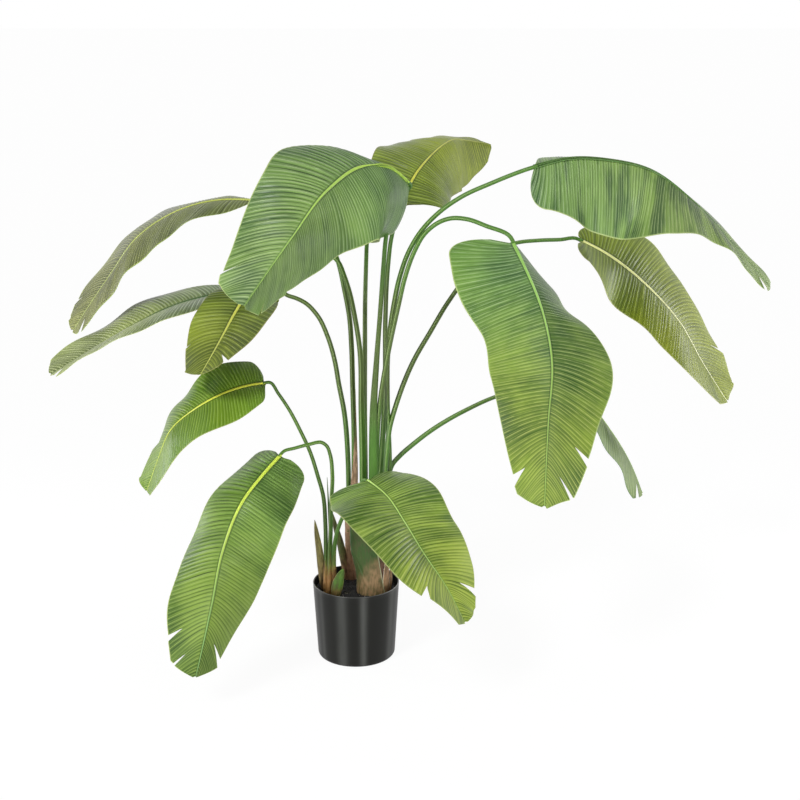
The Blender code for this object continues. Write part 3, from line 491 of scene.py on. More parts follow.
# Each stalk runs from inside its stem base up to its leaf. foot is the half width and half thickness
# low down, where the stalk is a flat sheath, channel is where its groove looks, flatEnd the share at
# which it is a round rod, and sink how far its end lies below the leaf's rib.
stalkPlans = {
    "top_front": dict(path=[(0.038, -0.026, 0.250), (0.039, -0.029, 0.336), (0.040, -0.032, 0.417),
                            (0.040, -0.033, 0.494), (0.041, -0.033, 0.572), (0.048, -0.029, 0.679),
                            (0.057, -0.021, 0.795), (0.063, -0.016, 0.878), (0.068, -0.011, 0.934),
                            (0.084, 0.004, 1.012)],
                      foot=(0.0104, 0.0055), channel=(0.2, 0.9, 0.4), flatEnd=0.62),
    "top_rear": dict(path=[(0.044, 0.000, 0.250), (0.048, 0.004, 0.336), (0.052, 0.012, 0.385),
                           (0.059, 0.026, 0.487), (0.065, 0.032, 0.620), (0.066, 0.030, 0.756),
                           (0.072, 0.032, 0.870), (0.079, 0.037, 0.926), (0.092, 0.045, 0.972)],
                     foot=(0.0070, 0.0050), channel=(0.6, -0.6, 0.5)),
    "right_high": dict(path=[(0.064, -0.006, 0.250), (0.070, -0.006, 0.336), (0.074, -0.006, 0.428),
                             (0.070, -0.008, 0.589), (0.071, -0.013, 0.681), (0.084, -0.018, 0.794),
                             (0.096, -0.019, 0.852), (0.115, -0.026, 0.908), (0.139, -0.033, 0.950),
                             (0.182, -0.042, 0.996), (0.222, -0.047, 1.024), (0.281, -0.054, 1.052),
                             (0.334, -0.058, 1.074)],
                       foot=(0.0068, 0.0048), channel=(-0.5, -0.4, 0.8)),
    "right_rear": dict(path=[(0.056, -0.018, 0.250), (0.060, -0.020, 0.336), (0.065, -0.022, 0.422),
                             (0.069, -0.020, 0.478), (0.076, -0.012, 0.531), (0.087, 0.000, 0.568),
                             (0.126, 0.036, 0.661), (0.162, 0.068, 0.717), (0.203, 0.100, 0.779),
                             (0.271, 0.140, 0.855), (0.345, 0.171, 0.892), (0.408, 0.186, 0.897),
                             (0.450, 0.188, 0.898)],
                       foot=(0.0075, 0.0048), channel=(-0.6, -0.2, 0.8)),
    "right_front": dict(path=[(0.044, -0.014, 0.250), (0.045, -0.018, 0.336), (0.046, -0.021, 0.416),
                              (0.048, -0.024, 0.495), (0.053, -0.029, 0.572), (0.070, -0.036, 0.685),
                              (0.094, -0.037, 0.799), (0.107, -0.040, 0.856), (0.126, -0.045, 0.911),
                              (0.148, -0.050, 0.950), (0.181, -0.058, 0.976), (0.198, -0.063, 0.982),
                              (0.231, -0.072, 0.982), (0.270, -0.084, 0.970)],
                        foot=(0.0075, 0.0045), channel=(-0.6, -0.3, 0.8)),
    "right_low": dict(path=[(0.064, 0.002, 0.250), (0.067, 0.002, 0.336), (0.072, 0.010, 0.405),
                            (0.080, 0.018, 0.433), (0.097, 0.027, 0.451), (0.124, 0.042, 0.471),
                            (0.158, 0.060, 0.493), (0.242, 0.090, 0.536), (0.330, 0.116, 0.566)],
                      foot=(0.0060, 0.0048), channel=(-0.4, -0.1, 0.9)),
    "left_high": dict(path=[(-0.008, 0.039, 0.270), (-0.005, 0.037, 0.366), (-0.003, 0.033, 0.496),
                            (-0.005, 0.034, 0.608), (-0.007, 0.042, 0.695), (-0.011, 0.051, 0.752),
                            (-0.021, 0.065, 0.806), (-0.039, 0.088, 0.877), (-0.079, 0.120, 0.945),
                            (-0.140, 0.140, 0.983)],
                      foot=(0.0056, 0.0052), channel=(0.3, -0.4, 0.8)),
    "left_far": dict(path=[(0.018, -0.018, 0.250), (0.018, -0.020, 0.336), (0.018, -0.020, 0.434),
                           (0.015, -0.019, 0.567), (0.011, -0.003, 0.705), (0.002, 0.008, 0.761),
                           (-0.010, 0.027, 0.814), (-0.021, 0.041, 0.845), (-0.034, 0.057, 0.872),
                           (-0.080, 0.088, 0.893), (-0.140, 0.110, 0.876), (-0.205, 0.121, 0.826)],
                     foot=(0.0102, 0.0050), channel=(0.4, -0.4, 0.8)),
    "left_inner": dict(path=[(-0.016, 0.044, 0.270), (-0.016, 0.042, 0.366), (-0.017, 0.044, 0.440),
                             (-0.025, 0.049, 0.548), (-0.035, 0.050, 0.604), (-0.044, 0.050, 0.660),
                             (-0.058, 0.050, 0.711), (-0.079, 0.050, 0.757), (-0.105, 0.050, 0.785),
                             (-0.123, 0.052, 0.794), (-0.145, 0.056, 0.801)],
                       foot=(0.0056, 0.0052), channel=(0.4, -0.4, 0.8)),
    "left_middle": dict(path=[(-0.065, -0.018, 0.180), (-0.065, -0.018, 0.246), (-0.065, -0.019, 0.308),
                              (-0.070, -0.019, 0.381), (-0.079, -0.020, 0.417), (-0.095, -0.028, 0.477),
                              (-0.115, -0.034, 0.527), (-0.137, -0.039, 0.574), (-0.159, -0.043, 0.611)],
                        foot=(0.0050, 0.0042), channel=(0.5, -0.4, 0.7)),
    "left_low": dict(path=[(-0.057, -0.024, 0.180), (-0.056, -0.028, 0.240), (-0.053, -0.034, 0.300),
                           (-0.051, -0.039, 0.361), (-0.047, -0.049, 0.432), (-0.051, -0.061, 0.483),
                           (-0.057, -0.072, 0.504), (-0.067, -0.080, 0.514), (-0.095, -0.092, 0.513),
                           (-0.124, -0.102, 0.508)],
                     foot=(0.0050, 0.0042), channel=(0.2, -0.5, 0.8)),
    "front_low": dict(path=[(-0.048, -0.024, 0.180), (-0.047, -0.030, 0.240), (-0.042, -0.046, 0.285),
                            (-0.030, -0.066, 0.332), (-0.014, -0.084, 0.370), (0.003, -0.098, 0.402)],
                      foot=(0.0050, 0.0042), channel=(-0.3, 0.5, 0.8), sink=0.0045),
    "rear": dict(path=[(0.020, 0.000, 0.250), (0.021, 0.001, 0.336), (0.021, 0.011, 0.446),
                       (0.021, 0.023, 0.578), (0.022, 0.033, 0.686), (0.023, 0.046, 0.792),
                       (0.026, 0.066, 0.895)],
                 foot=(0.0066, 0.0050), channel=(0.0, -0.8, 0.5)),
}
stalkMake = dict(rows=110, sides=32, low=1.1, middle=0.0053, tip=0.0042, slim=0.80, flatStart=0.16,
                 flatEnd=0.46, sink=0.0005, before=0.012, after=0.006, grooveDeep=0.34, grooveWide=0.50,
                 edgeTurn=0.88, edgeWide=0.20, edgeHigh=0.08)
slimStalks = ("left_middle", "left_low", "front_low")


# The up and side directions along a path, up kept as near to a fixed direction as it can be.
def pathFrame(points, keep):
    along = unit(np.gradient(points, axis=0))
    up = np.broadcast_to(np.array(keep, float), along.shape)
    up = unit(up - (up * along).sum(-1, keepdims=True) * along)
    return up, np.cross(along, up)


# Rings of a stalk: an oval that changes from a flat sheath to a round rod, with a shallow groove on
# its channel side between two thin edges. Its end runs along under the first of its leaf's rib.
def stalkRings(name, plan):
    base, along, _, face = (value[0] for value in bladeFrame(leafPlans[name], np.array([0.0])))
    sunk = base - face * plan.get("sink", stalkMake["sink"])
    ends = [tuple(sunk - along * stalkMake["before"]), tuple(sunk + along * stalkMake["after"])]
    share = np.linspace(0, 1, stalkMake["rows"])
    points = alongPath(plan["path"] + ends, share)
    up, side = pathFrame(points, plan["channel"])
    slim = stalkMake["slim"] if name in slimStalks else 1.0
    sizes = (stalkMake["middle"] * stalkMake["low"], stalkMake["middle"], stalkMake["tip"])
    rod = np.interp(share, (0, 0.5, 1), sizes) * slim
    flat = 1 - fade(stalkMake["flatStart"], plan.get("flatEnd", stalkMake["flatEnd"]), share)
    wide = rod + (plan["foot"][0] - rod) * flat
    thick = rod + (plan["foot"][1] - rod) * flat
    theta = np.linspace(0, 2 * np.pi, stalkMake["sides"], endpoint=False)
    turn = (theta + np.pi) % (2 * np.pi) - np.pi
    groove = np.exp(-(turn / stalkMake["grooveWide"]) ** 2)
    edge = np.exp(-((np.abs(turn) - stalkMake["edgeTurn"]) / stalkMake["edgeWide"]) ** 2)
    grooved = (fade(0.0, 0.10, share) * (1 - 0.7 * fade(0.75, 0.98, share)))[:, None]
    radius = 1 - stalkMake["grooveDeep"] * groove * grooved + stalkMake["edgeHigh"] * edge * grooved
    halves = (thick[:, None] * radius, wide[:, None] * radius)
    return rodRings(points, up, side, halves, theta), edge * grooved


# A shader node of the given kind, with its inputs linked or set.
def addNode(tree, kind, inputs=(), **settings):
    made = tree.nodes.new("ShaderNode" + kind)
    for key, value in settings.items():
        setattr(made, key, value)
    for key, value in dict(inputs).items():
        if isinstance(value, bpy.types.NodeSocket):
            tree.links.new(value, made.inputs[key])
        else:
            made.inputs[key].default_value = value
    return made


# One step of arithmetic.
def calc(tree, operation, *values):
    return addNode(tree, "Math", dict(enumerate(values)), operation=operation).outputs[0]


# The first colour at factor 0, and at factor 1 the second one, or their blend.
def mixColor(tree, factor, first, second, blend="MIX"):
    settings = dict(data_type="RGBA", blend_type=blend, clamp_factor=True)
    pair = [color if isinstance(color, bpy.types.NodeSocket) else (*color, 1) for color in (first, second)]
    return addNode(tree, "Mix", {0: factor, 6: pair[0], 7: pair[1]}, **settings).outputs[2]


# 0 where the value is low and 1 where it is high, with a smooth start and end.
def between(tree, value, low, high):
    inputs = {"Value": value, "From Min": low, "From Max": high}
    return addNode(tree, "MapRange", inputs, interpolation_type="SMOOTHSTEP").outputs[0]


# Cloudy values between 0 and 1.
def noise(tree, place, scale, detail=2.0):
    return addNode(tree, "TexNoise", {"Vector": place, "Scale": scale, "Detail": detail}).outputs[0]


# A place with its three axes scaled.
def stretched(tree, place, scales):
    return addNode(tree, "VectorMath", {0: place, 1: scales}, operation="MULTIPLY").outputs[0]


# A value that the mesh carries at its points.
def attribute(tree, name):
    return addNode(tree, "Attribute", attribute_name=name).outputs["Fac"]


# Clouds drawn out into streaks: run counts in full, across only by a small share.
def streaks(tree, run, across, share, scale, detail=2.0, layer=0.0):
    drawn = calc(tree, "MULTIPLY", across, share)
    place = addNode(tree, "CombineXYZ", {0: run, 1: drawn, 2: layer}).outputs[0]
    return noise(tree, place, scale, detail)


# A colour made lighter or darker by a value.
def shaded(tree, color, value):
    gray = addNode(tree, "CombineColor", {0: value, 1: value, 2: value}).outputs[0]
    return mixColor(tree, 1.0, color, gray, "MULTIPLY")


# A group of nodes with the given colours and values as inputs, and a look's three outputs.
def newGroup(name, colors, values=()):
    tree = bpy.data.node_groups.new(name, "ShaderNodeTree")
    inputs = [(key, "Color") for key in colors] + [(key, "Float") for key in values]
    outputs = [("Color", "Color"), ("Roughness", "Float"), ("Height", "Float")]
    for way, sockets in (("INPUT", inputs), ("OUTPUT", outputs)):
        for key, kind in sockets:
            tree.interface.new_socket(name=key, in_out=way, socket_type="NodeSocket" + kind)
    return tree, tree.nodes.new("NodeGroupInput").outputs, tree.nodes.new("NodeGroupOutput").inputs


# A material with a group's colour, roughness and height on its shader. bumpDistance is in metres.
def newMaterial(name, group, inputs, bumpDistance, specular=0.5):
    material = bpy.data.materials.new(name)
    material.use_nodes = True
    tree = material.node_tree
    shader = tree.nodes["Principled BSDF"]
    shader.inputs["Specular IOR Level"].default_value = specular
    look = addNode(tree, "Group", node_tree=group)
    for key, value in inputs.items():
        look.inputs[key].default_value = (*value, 1) if isinstance(value, tuple) else value
    relief = {"Height": look.outputs["Height"], "Distance": bumpDistance, "Strength": 1.0}
    bump = addNode(tree, "Bump", relief)
    tree.links.new(look.outputs["Color"], shader.inputs["Base Color"])
    tree.links.new(look.outputs["Roughness"], shader.inputs["Roughness"])
    tree.links.new(bump.outputs["Normal"], shader.inputs["Normal"])
    return material


# How fine each look's clouds are: how many lie in a metre.
bladeNoise = dict(streak=330.0, band=48.0, broken=95.0, patch=6.5)


# Blade: streaks along the veins and broad patches blend deep and light green, and two tints scale that from
# base to tip.
# Each fold has painted shade on its flanks and darker painted shade where it dips lowest, a painted
# highlight on its rounded top, and thin pale lines along its top and beside it: those on top partly vein
# lines, partly a painted highlight. A band of painted shade lies in the groove beside the rib. The rib and
# the margin have their own colours.
# Toward the tip the relief fades and the shine dulls.
def bladeGroup():
    colors = ("Deep", "Light", "Line", "Rib", "Rib tip", "Margin", "Base tint", "Tip tint")
    tree, given, result = newGroup("bladeLook", colors, ("Valley", "Lines", "Bands"))
    keys = ("veinRun", "fromRib", "share", "alongRib", "ribShare", "fold", "phase")
    run, fromRib, share, along, ribShare, fold, phase = (attribute(tree, key) for key in keys)
    place = addNode(tree, "TexCoord").outputs["Object"]
    streak = streaks(tree, run, fromRib, 0.025, bladeNoise["streak"], 3.0)
    band = streaks(tree, run, fromRib, 0.12, bladeNoise["band"], layer=3.0)
    broken = streaks(tree, run, fromRib, 0.30, bladeNoise["broken"], layer=7.0)
    patch = noise(tree, place, bladeNoise["patch"], 3.0)
    spread = calc(tree, "MULTIPLY", calc(tree, "SUBTRACT", band, 0.5), given["Bands"])
    tone = calc(tree, "MULTIPLY_ADD", streak, 0.60, spread)
    tone = calc(tree, "ADD", tone, calc(tree, "MULTIPLY", patch, 1.6))
    color = mixColor(tree, between(tree, tone, 0.74, 1.46), given["Deep"], given["Light"])
    beat = calc(tree, "ABSOLUTE", calc(tree, "SINE", phase))
    # Painted highlight: the rounded top of each fold is blended toward the pale line colour.
    pale = calc(tree, "MULTIPLY", calc(tree, "MULTIPLY", beat, fold), 0.16)
    color = mixColor(tree, pale, color, given["Line"])
    # Thin pale lines on the top of each fold: partly vein lines and partly a painted highlight where light
    # catches it. The second set between them are vein lines.
    crestGlintAndVeinLines = calc(tree, "MULTIPLY", between(tree, beat, 0.955, 1.0), between(tree, broken, 0.30, 0.55))
    second = calc(tree, "SINE", calc(tree, "MULTIPLY_ADD", phase, 2.0, 0.6))
    second = calc(tree, "ABSOLUTE", second)
    crestGlintAndVeinLines = calc(tree, "MAXIMUM", crestGlintAndVeinLines, calc(tree, "MULTIPLY", between(tree, second, 0.90, 1.0), 0.35))
    color = mixColor(tree, calc(tree, "MULTIPLY", crestGlintAndVeinLines, given["Lines"]), color, given["Line"])
    # dark is the colour of the painted shade in the folds and beside the rib.
    dark = mixColor(tree, 1.0, given["Deep"], (0.22, 0.30, 0.22), "MULTIPLY")
    # Painted shade: soft over the flanks of each fold, dark where it dips lowest.
    soft = calc(tree, "MULTIPLY", between(tree, beat, 0.70, 0.0), 0.30)
    paintedCreaseShade = calc(tree, "MAXIMUM", soft, between(tree, beat, 0.40, 0.08))
    paintedCreaseShade = calc(tree, "MULTIPLY", calc(tree, "MULTIPLY", paintedCreaseShade, fold), given["Valley"])
    color = mixColor(tree, paintedCreaseShade, color, dark)
    tint = mixColor(tree, between(tree, calc(tree, "MULTIPLY_ADD", patch, 0.5, along), 0.25, 1.0),
                    given["Base tint"], given["Tip tint"])
    color = mixColor(tree, 1.0, color, tint, "MULTIPLY")
    color = mixColor(tree, between(tree, share, 0.975, 0.995), color, given["Margin"])
    # Painted shade: a dark band in the groove beside the raised rib.
    beside = calc(tree, "MULTIPLY", between(tree, ribShare, 0.9, 1.1), between(tree, ribShare, 2.6, 1.2))
    color = mixColor(tree, calc(tree, "MULTIPLY", beside, 0.6), color, dark)
    rib = mixColor(tree, between(tree, along, 0.02, 0.85), given["Rib"], given["Rib tip"])
    ribMask = between(tree, ribShare, 1.12, 0.88)
    color = mixColor(tree, ribMask, color, rib)
    tree.links.new(color, result["Color"])
    tip = between(tree, along, 0.60, 0.90)
    rough = calc(tree, "MULTIPLY_ADD", streak, 0.20, calc(tree, "MULTIPLY_ADD", patch, 0.20, 0.12))
    tree.links.new(calc(tree, "MULTIPLY_ADD", tip, 0.20, rough), result["Roughness"])
    ridges = calc(tree, "MULTIPLY_ADD", crestGlintAndVeinLines, 0.7, streak)
    ridges = calc(tree, "MULTIPLY", ridges, calc(tree, "MULTIPLY_ADD", tip, -0.9, 1.0))
    tree.links.new(calc(tree, "MULTIPLY", ridges, calc(tree, "SUBTRACT", 1.0, ribMask)), result["Height"])
    return tree


stalkNoise = dict(fibre=(420.0, 420.0, 16.0), patch=22.0)


# Stalk: fine upright fibres over a green that browns at mid height, with paler channel edges.
def stalkGroup():
    tree, given, result = newGroup("stalkLook", ("Green", "Brown", "Edge"), ("Brown height", "Brown reach"))
    place = addNode(tree, "TexCoord").outputs["Object"]
    fibre = noise(tree, stretched(tree, place, stalkNoise["fibre"]), 1.0, 3.0)
    patch = noise(tree, place, stalkNoise["patch"], 3.0)
    height = addNode(tree, "SeparateXYZ", {0: place}).outputs[2]
    away = calc(tree, "ABSOLUTE", calc(tree, "SUBTRACT", height, given["Brown height"]))
    away = calc(tree, "DIVIDE", away, given["Brown reach"])
    away = calc(tree, "ADD", away, calc(tree, "MULTIPLY_ADD", patch, 0.7, -0.35))
    brown = between(tree, away, 1.25, 0.45)
    color = mixColor(tree, brown, given["Green"], given["Brown"])
    color = shaded(tree, color, calc(tree, "MULTIPLY_ADD", fibre, 0.7, 0.62))
    edge = calc(tree, "MULTIPLY", attribute(tree, "edge"), 0.55)
    color = mixColor(tree, edge, color, given["Edge"])
    tree.links.new(color, result["Color"])
    tree.links.new(calc(tree, "MULTIPLY_ADD", fibre, 0.25, 0.33), result["Roughness"])
    tree.links.new(fibre, result["Height"])
    return tree


sheathNoise = dict(fibre=700.0, streak=190.0, mottle=90.0, patch=28.0)


# Sheath: brown at its foot and green above a wandering line, with long fibres and a pale thin edge. The
# line lies at the height Turn, rises by Slant toward the right, and blends over Blend.
def sheathGroup():
    colors = ("Green", "Brown", "Dark", "Edge")
    tree, given, result = newGroup("sheathLook", colors, ("Turn", "Blend", "Slant"))
    place = addNode(tree, "TexCoord").outputs["Object"]
    fibreRun = attribute(tree, "fibre")
    parts = addNode(tree, "SeparateXYZ", {0: place}).outputs
    height = parts[2]
    fibre = streaks(tree, fibreRun, height, 0.05, sheathNoise["fibre"], 3.0)
    streak = streaks(tree, fibreRun, height, 0.16, sheathNoise["streak"], 3.0)
    mottle = noise(tree, place, sheathNoise["mottle"], 4.0)
    patch = noise(tree, place, sheathNoise["patch"], 3.0)
    lift = calc(tree, "MULTIPLY_ADD", streak, 0.05, calc(tree, "MULTIPLY_ADD", patch, 0.04, -0.045))
    above = calc(tree, "SUBTRACT", calc(tree, "ADD", height, lift), given["Turn"])
    above = calc(tree, "SUBTRACT", above, calc(tree, "MULTIPLY", parts[0], given["Slant"]))
    green = between(tree, calc(tree, "DIVIDE", above, given["Blend"]), -1.0, 1.0)
    color = mixColor(tree, green, given["Brown"], given["Green"])
    dark = between(tree, calc(tree, "MULTIPLY_ADD", mottle, 0.6, streak), 0.92, 0.62)
    color = mixColor(tree, calc(tree, "MULTIPLY", dark, 0.75), color, given["Dark"])
    color = shaded(tree, color, calc(tree, "MULTIPLY_ADD", fibre, 0.9, 0.55))
    color = mixColor(tree, attribute(tree, "edge"), color, given["Edge"])
    tree.links.new(color, result["Color"])
    tree.links.new(calc(tree, "MULTIPLY_ADD", fibre, 0.3, 0.42), result["Roughness"])
    tree.links.new(calc(tree, "MULTIPLY_ADD", mottle, 0.5, fibre), result["Height"])
    return tree


plasticNoise = dict(speckle=900.0, drag=(60.0, 60.0, 6.0))


# Satin moulded plastic: even black with tiny speckle, paler upright bands painted as reflections of tall
# lamps, and a painted highlight on the rim.
def plasticGroup():
    tree, given, result = newGroup("plasticLook", ("Base", "Flow", "Lip"))
    place = addNode(tree, "TexCoord").outputs["Object"]
    speckle = noise(tree, place, plasticNoise["speckle"])
    drag = noise(tree, stretched(tree, place, plasticNoise["drag"]), 1.0, 3.0)
    # Painted reflection: paler upright bands down the wall, streaked by the drawn-out clouds.
    flow = calc(tree, "MULTIPLY", attribute(tree, "flow"), calc(tree, "MULTIPLY_ADD", drag, 1.0, 0.5))
    color = mixColor(tree, flow, given["Base"], given["Flow"])
    # Painted highlight: the rim's top is blended toward pale grey where it catches the light.
    tree.links.new(mixColor(tree, attribute(tree, "lip"), color, given["Lip"]), result["Color"])
    tree.links.new(calc(tree, "MULTIPLY_ADD", drag, 0.12, 0.34), result["Roughness"])
    tree.links.new(speckle, result["Height"])
    return tree


soilNoise = dict(crumb=420.0, patch=60.0)


# Soil: black crumbs with a few pale specks.
def soilGroup():
    tree, given, result = newGroup("soilLook", ("Black", "Brown", "Speck"))
    place = addNode(tree, "TexCoord").outputs["Object"]
    crumb = noise(tree, place, soilNoise["crumb"], 4.0)
    patch = noise(tree, place, soilNoise["patch"], 3.0)
    color = mixColor(tree, between(tree, calc(tree, "MULTIPLY_ADD", crumb, 0.7, patch), 0.75, 1.1),
                     given["Black"], given["Brown"])
    color = mixColor(tree, attribute(tree, "speck"), color, given["Speck"])
    tree.links.new(color, result["Color"])
    tree.links.new(calc(tree, "MULTIPLY_ADD", crumb, 0.2, 0.68), result["Roughness"])
    tree.links.new(crumb, result["Height"])
    return tree


bladeLook, stalkLook, sheathLook = bladeGroup(), stalkGroup(), sheathGroup()
plasticLook, soilLook = plasticGroup(), soilGroup()

# Colours of the blade, of the rib at its base and tip, and of the margin.
bladeColors = {
    "green": dict(deep=(0.035, 0.104, 0.020), light=(0.195, 0.350, 0.085), line=(0.460, 0.610, 0.340),
                  rib=(0.42, 0.62, 0.09), ribTip=(0.26, 0.42, 0.10), margin=(0.34, 0.42, 0.16)),
    "pale": dict(deep=(0.080, 0.145, 0.035), light=(0.310, 0.400, 0.200), line=(0.950, 1.000, 1.000),
                 rib=(0.42, 0.60, 0.10), ribTip=(0.24, 0.38, 0.10), margin=(0.08, 0.18, 0.05)),
    "middle": dict(deep=(0.058, 0.140, 0.016), light=(0.260, 0.410, 0.078), line=(0.430, 0.560, 0.200),
                   rib=(0.54, 0.66, 0.07), ribTip=(0.17, 0.31, 0.09), margin=(0.30, 0.36, 0.12)),
    "bright": dict(deep=(0.072, 0.185, 0.010), light=(0.225, 0.370, 0.038), line=(0.500, 0.620, 0.260),
                   rib=(0.60, 0.62, 0.06), ribTip=(0.42, 0.50, 0.08), margin=(0.30, 0.36, 0.10)),
    "olive": dict(deep=(0.075, 0.112, 0.008), light=(0.285, 0.355, 0.055), line=(0.560, 0.600, 0.360),
                  rib=(0.60, 0.60, 0.07), ribTip=(0.40, 0.44, 0.10), margin=(0.22, 0.22, 0.06)),
    "yellow": dict(deep=(0.135, 0.185, 0.025), light=(0.335, 0.400, 0.090), line=(0.660, 0.720, 0.650),
                   rib=(0.86, 0.88, 0.36), ribTip=(0.80, 0.82, 0.50), margin=(0.42, 0.44, 0.18)),
    "grey": dict(deep=(0.080, 0.098, 0.024), light=(0.300, 0.330, 0.135), line=(0.950, 0.950, 0.950),
                 rib=(0.46, 0.52, 0.10), ribTip=(0.34, 0.40, 0.12), margin=(0.33, 0.42, 0.10)),
    "greyDark": dict(deep=(0.085, 0.118, 0.030), light=(0.310, 0.370, 0.160), line=(0.700, 0.740, 0.600),
                     rib=(0.05, 0.12, 0.03), ribTip=(0.06, 0.12, 0.03), margin=(0.40, 0.46, 0.18)),
}
bladeFinish = dict(bumpDistance=0.0004, specular=0.24)
# warm scales a side's colours. The next value sets how strong the painted shade in its folds is, and lines
# how strong its pale lines are, partly vein lines and partly a painted highlight.
bladeSides = {"top": dict(warm=(1.0, 1.0, 1.0), valley=0.92, lines=0.68),
              "under": dict(warm=(1.10, 0.88, 0.80), valley=0.50, lines=0.35),
              "margin": dict(warm=(1.0, 1.0, 1.0), valley=0.0, lines=0.0)}


# One material for each side of a leaf, from its look and its own shade.
def bladeMaterial(name, plan, side):
    colors, sort = bladeColors[plan["look"]], bladeSides[side]

    def scaled(key):
        scales = zip(colors[key], plan["shade"], sort["warm"])
        return tuple(value * shade * warm for value, shade, warm in scales)

    baseTint, tipTint = plan.get("tints", ((0.92, 0.98, 1.0), (1.10, 1.03, 0.85)))
    deep, light = ("margin", "margin") if side == "margin" else ("deep", "light")
    inputs = {"Deep": scaled(deep), "Light": scaled(light), "Line": scaled("line"),
              "Rib": plan.get("ribBase", colors["rib"]), "Rib tip": plan.get("ribEnd", colors["ribTip"]),
              "Margin": colors["margin"], "Base tint": baseTint, "Tip tint": tipTint,
              "Valley": sort["valley"], "Lines": sort["lines"], "Bands": plan.get("bands", 0.7)}
    return newMaterial(name + side.capitalize(), bladeLook, inputs, **bladeFinish)


print("materials ready")


# The words of a name joined in camel case, with an ending.
def pieceName(words, ending=""):
    first, *rest = words.split("_")
    return first + "".join(word.capitalize() for word in rest) + ending


for name, plan in leafPlans.items():
    upper, looks, roots = leafSurface(plan)
    lower = lowerSide(upper, looks, roots)
    points, faces, kinds = closedSheet(upper, lower)
    materials = [bladeMaterial(pieceName(name, "Blade"), plan, side) for side in bladeSides]
    piece = makeMesh(pieceName(name, "Leaf"), points, [faces], materials, kinds, sheetValues(looks))
    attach(piece, "root")
    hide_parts("leaf_" + name)
print("leaves built")

stalkColors = {
    "tall": {"Green": (0.060, 0.154, 0.018), "Brown": (0.070, 0.112, 0.022), "Edge": (0.31, 0.42, 0.16),
             "Brown height": 0.70, "Brown reach": 0.17},
    "low": {"Green": (0.068, 0.156, 0.020), "Brown": (0.400, 0.240, 0.105), "Edge": (0.31, 0.40, 0.15),
            "Brown height": 0.13, "Brown reach": 0.085},
}
stalkFinish = dict(bumpDistance=0.0003, specular=0.3)
stalkMaterials = {key: newMaterial(key + "Stalk", stalkLook, values, **stalkFinish)
                  for key, values in stalkColors.items()}
for name, plan in stalkPlans.items():
    rings, edge = stalkRings(name, plan)
    points, faces = closedTube(rings)
    material = stalkMaterials["low" if name in slimStalks else "tall"]
    piece = makeMesh(pieceName(name, "Stalk"), points, faces, [material],
                     attributes={"edge": tubeValues(edge)})
    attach(piece, "root")
    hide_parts("stem_" + name)
print("stalks built")


soilTop = 0.1523
# Oval columns as (centre x, centre y, half x, half y, z), from the soil up to the stalks.
columnPlans = {
    "main": [(0.038, -0.015, 0.033, 0.028, soilTop - 0.004), (0.038, -0.014, 0.033, 0.026, 0.200),
             (0.040, -0.012, 0.036, 0.023, 0.270), (0.042, -0.012, 0.039, 0.022, 0.336)],
    "rear": [(-0.014, 0.058, 0.0125, 0.011, soilTop - 0.004), (-0.013, 0.053, 0.0110, 0.010, 0.230),
             (-0.011, 0.045, 0.0130, 0.010, 0.310), (-0.010, 0.040, 0.0145, 0.010, 0.366)],
    "tall": [(-0.006, 0.040, 0.0088, 0.0085, 0.330), (-0.004, 0.037, 0.0080, 0.0075, 0.400),
             (-0.003, 0.034, 0.0072, 0.0070, 0.480), (-0.003, 0.034, 0.0066, 0.0064, 0.600)],
}
coreMake = dict(rows=60, sides=144, uneven=0.012, narrow=0.35)
wrapMake = dict(rows=60, columns=57, skin=0.0011, ripple=0.0006, pale=0.8)


# Middle and half sizes of a column at any height.
def columnAt(knots, height):
    values = np.array(knots)
    return [np.interp(height, values[:, 4], values[:, place]) for place in range(4)]


# A core: the column drawn in, with rounded ridges round it where leaf bases press together, and a
# little narrower at its very top.
def coreRings(knots, shrink, ridges, depth, seed):
    low, high = knots[0][4], knots[-1][4]
    heights = np.linspace(low, high, coreMake["rows"])[:, None]
    turn = np.linspace(0, 2 * np.pi, coreMake["sides"], endpoint=False)[None]
    midX, midY, halfX, halfY = columnAt(knots, heights)
    shape = 1 - depth * (1 - np.abs(np.sin(ridges * turn / 2 + seed)) ** 0.6)
    shape = shape + coreMake["uneven"] * wander(turn * 0.02 + 0.0 * heights, 0.004, seed)
    grow = shrink * shape * (1 - coreMake["narrow"] * fade(0.9, 1.0, (heights - low) / (high - low)))
    fibre = turn * (halfX + halfY) / 2 + 0.0 * heights
    rings = ovalRings((midX, midY), (halfX * grow, halfY * grow), turn, heights)
    return rings, dict(fibre=fibre, edge=0.0 * fibre)


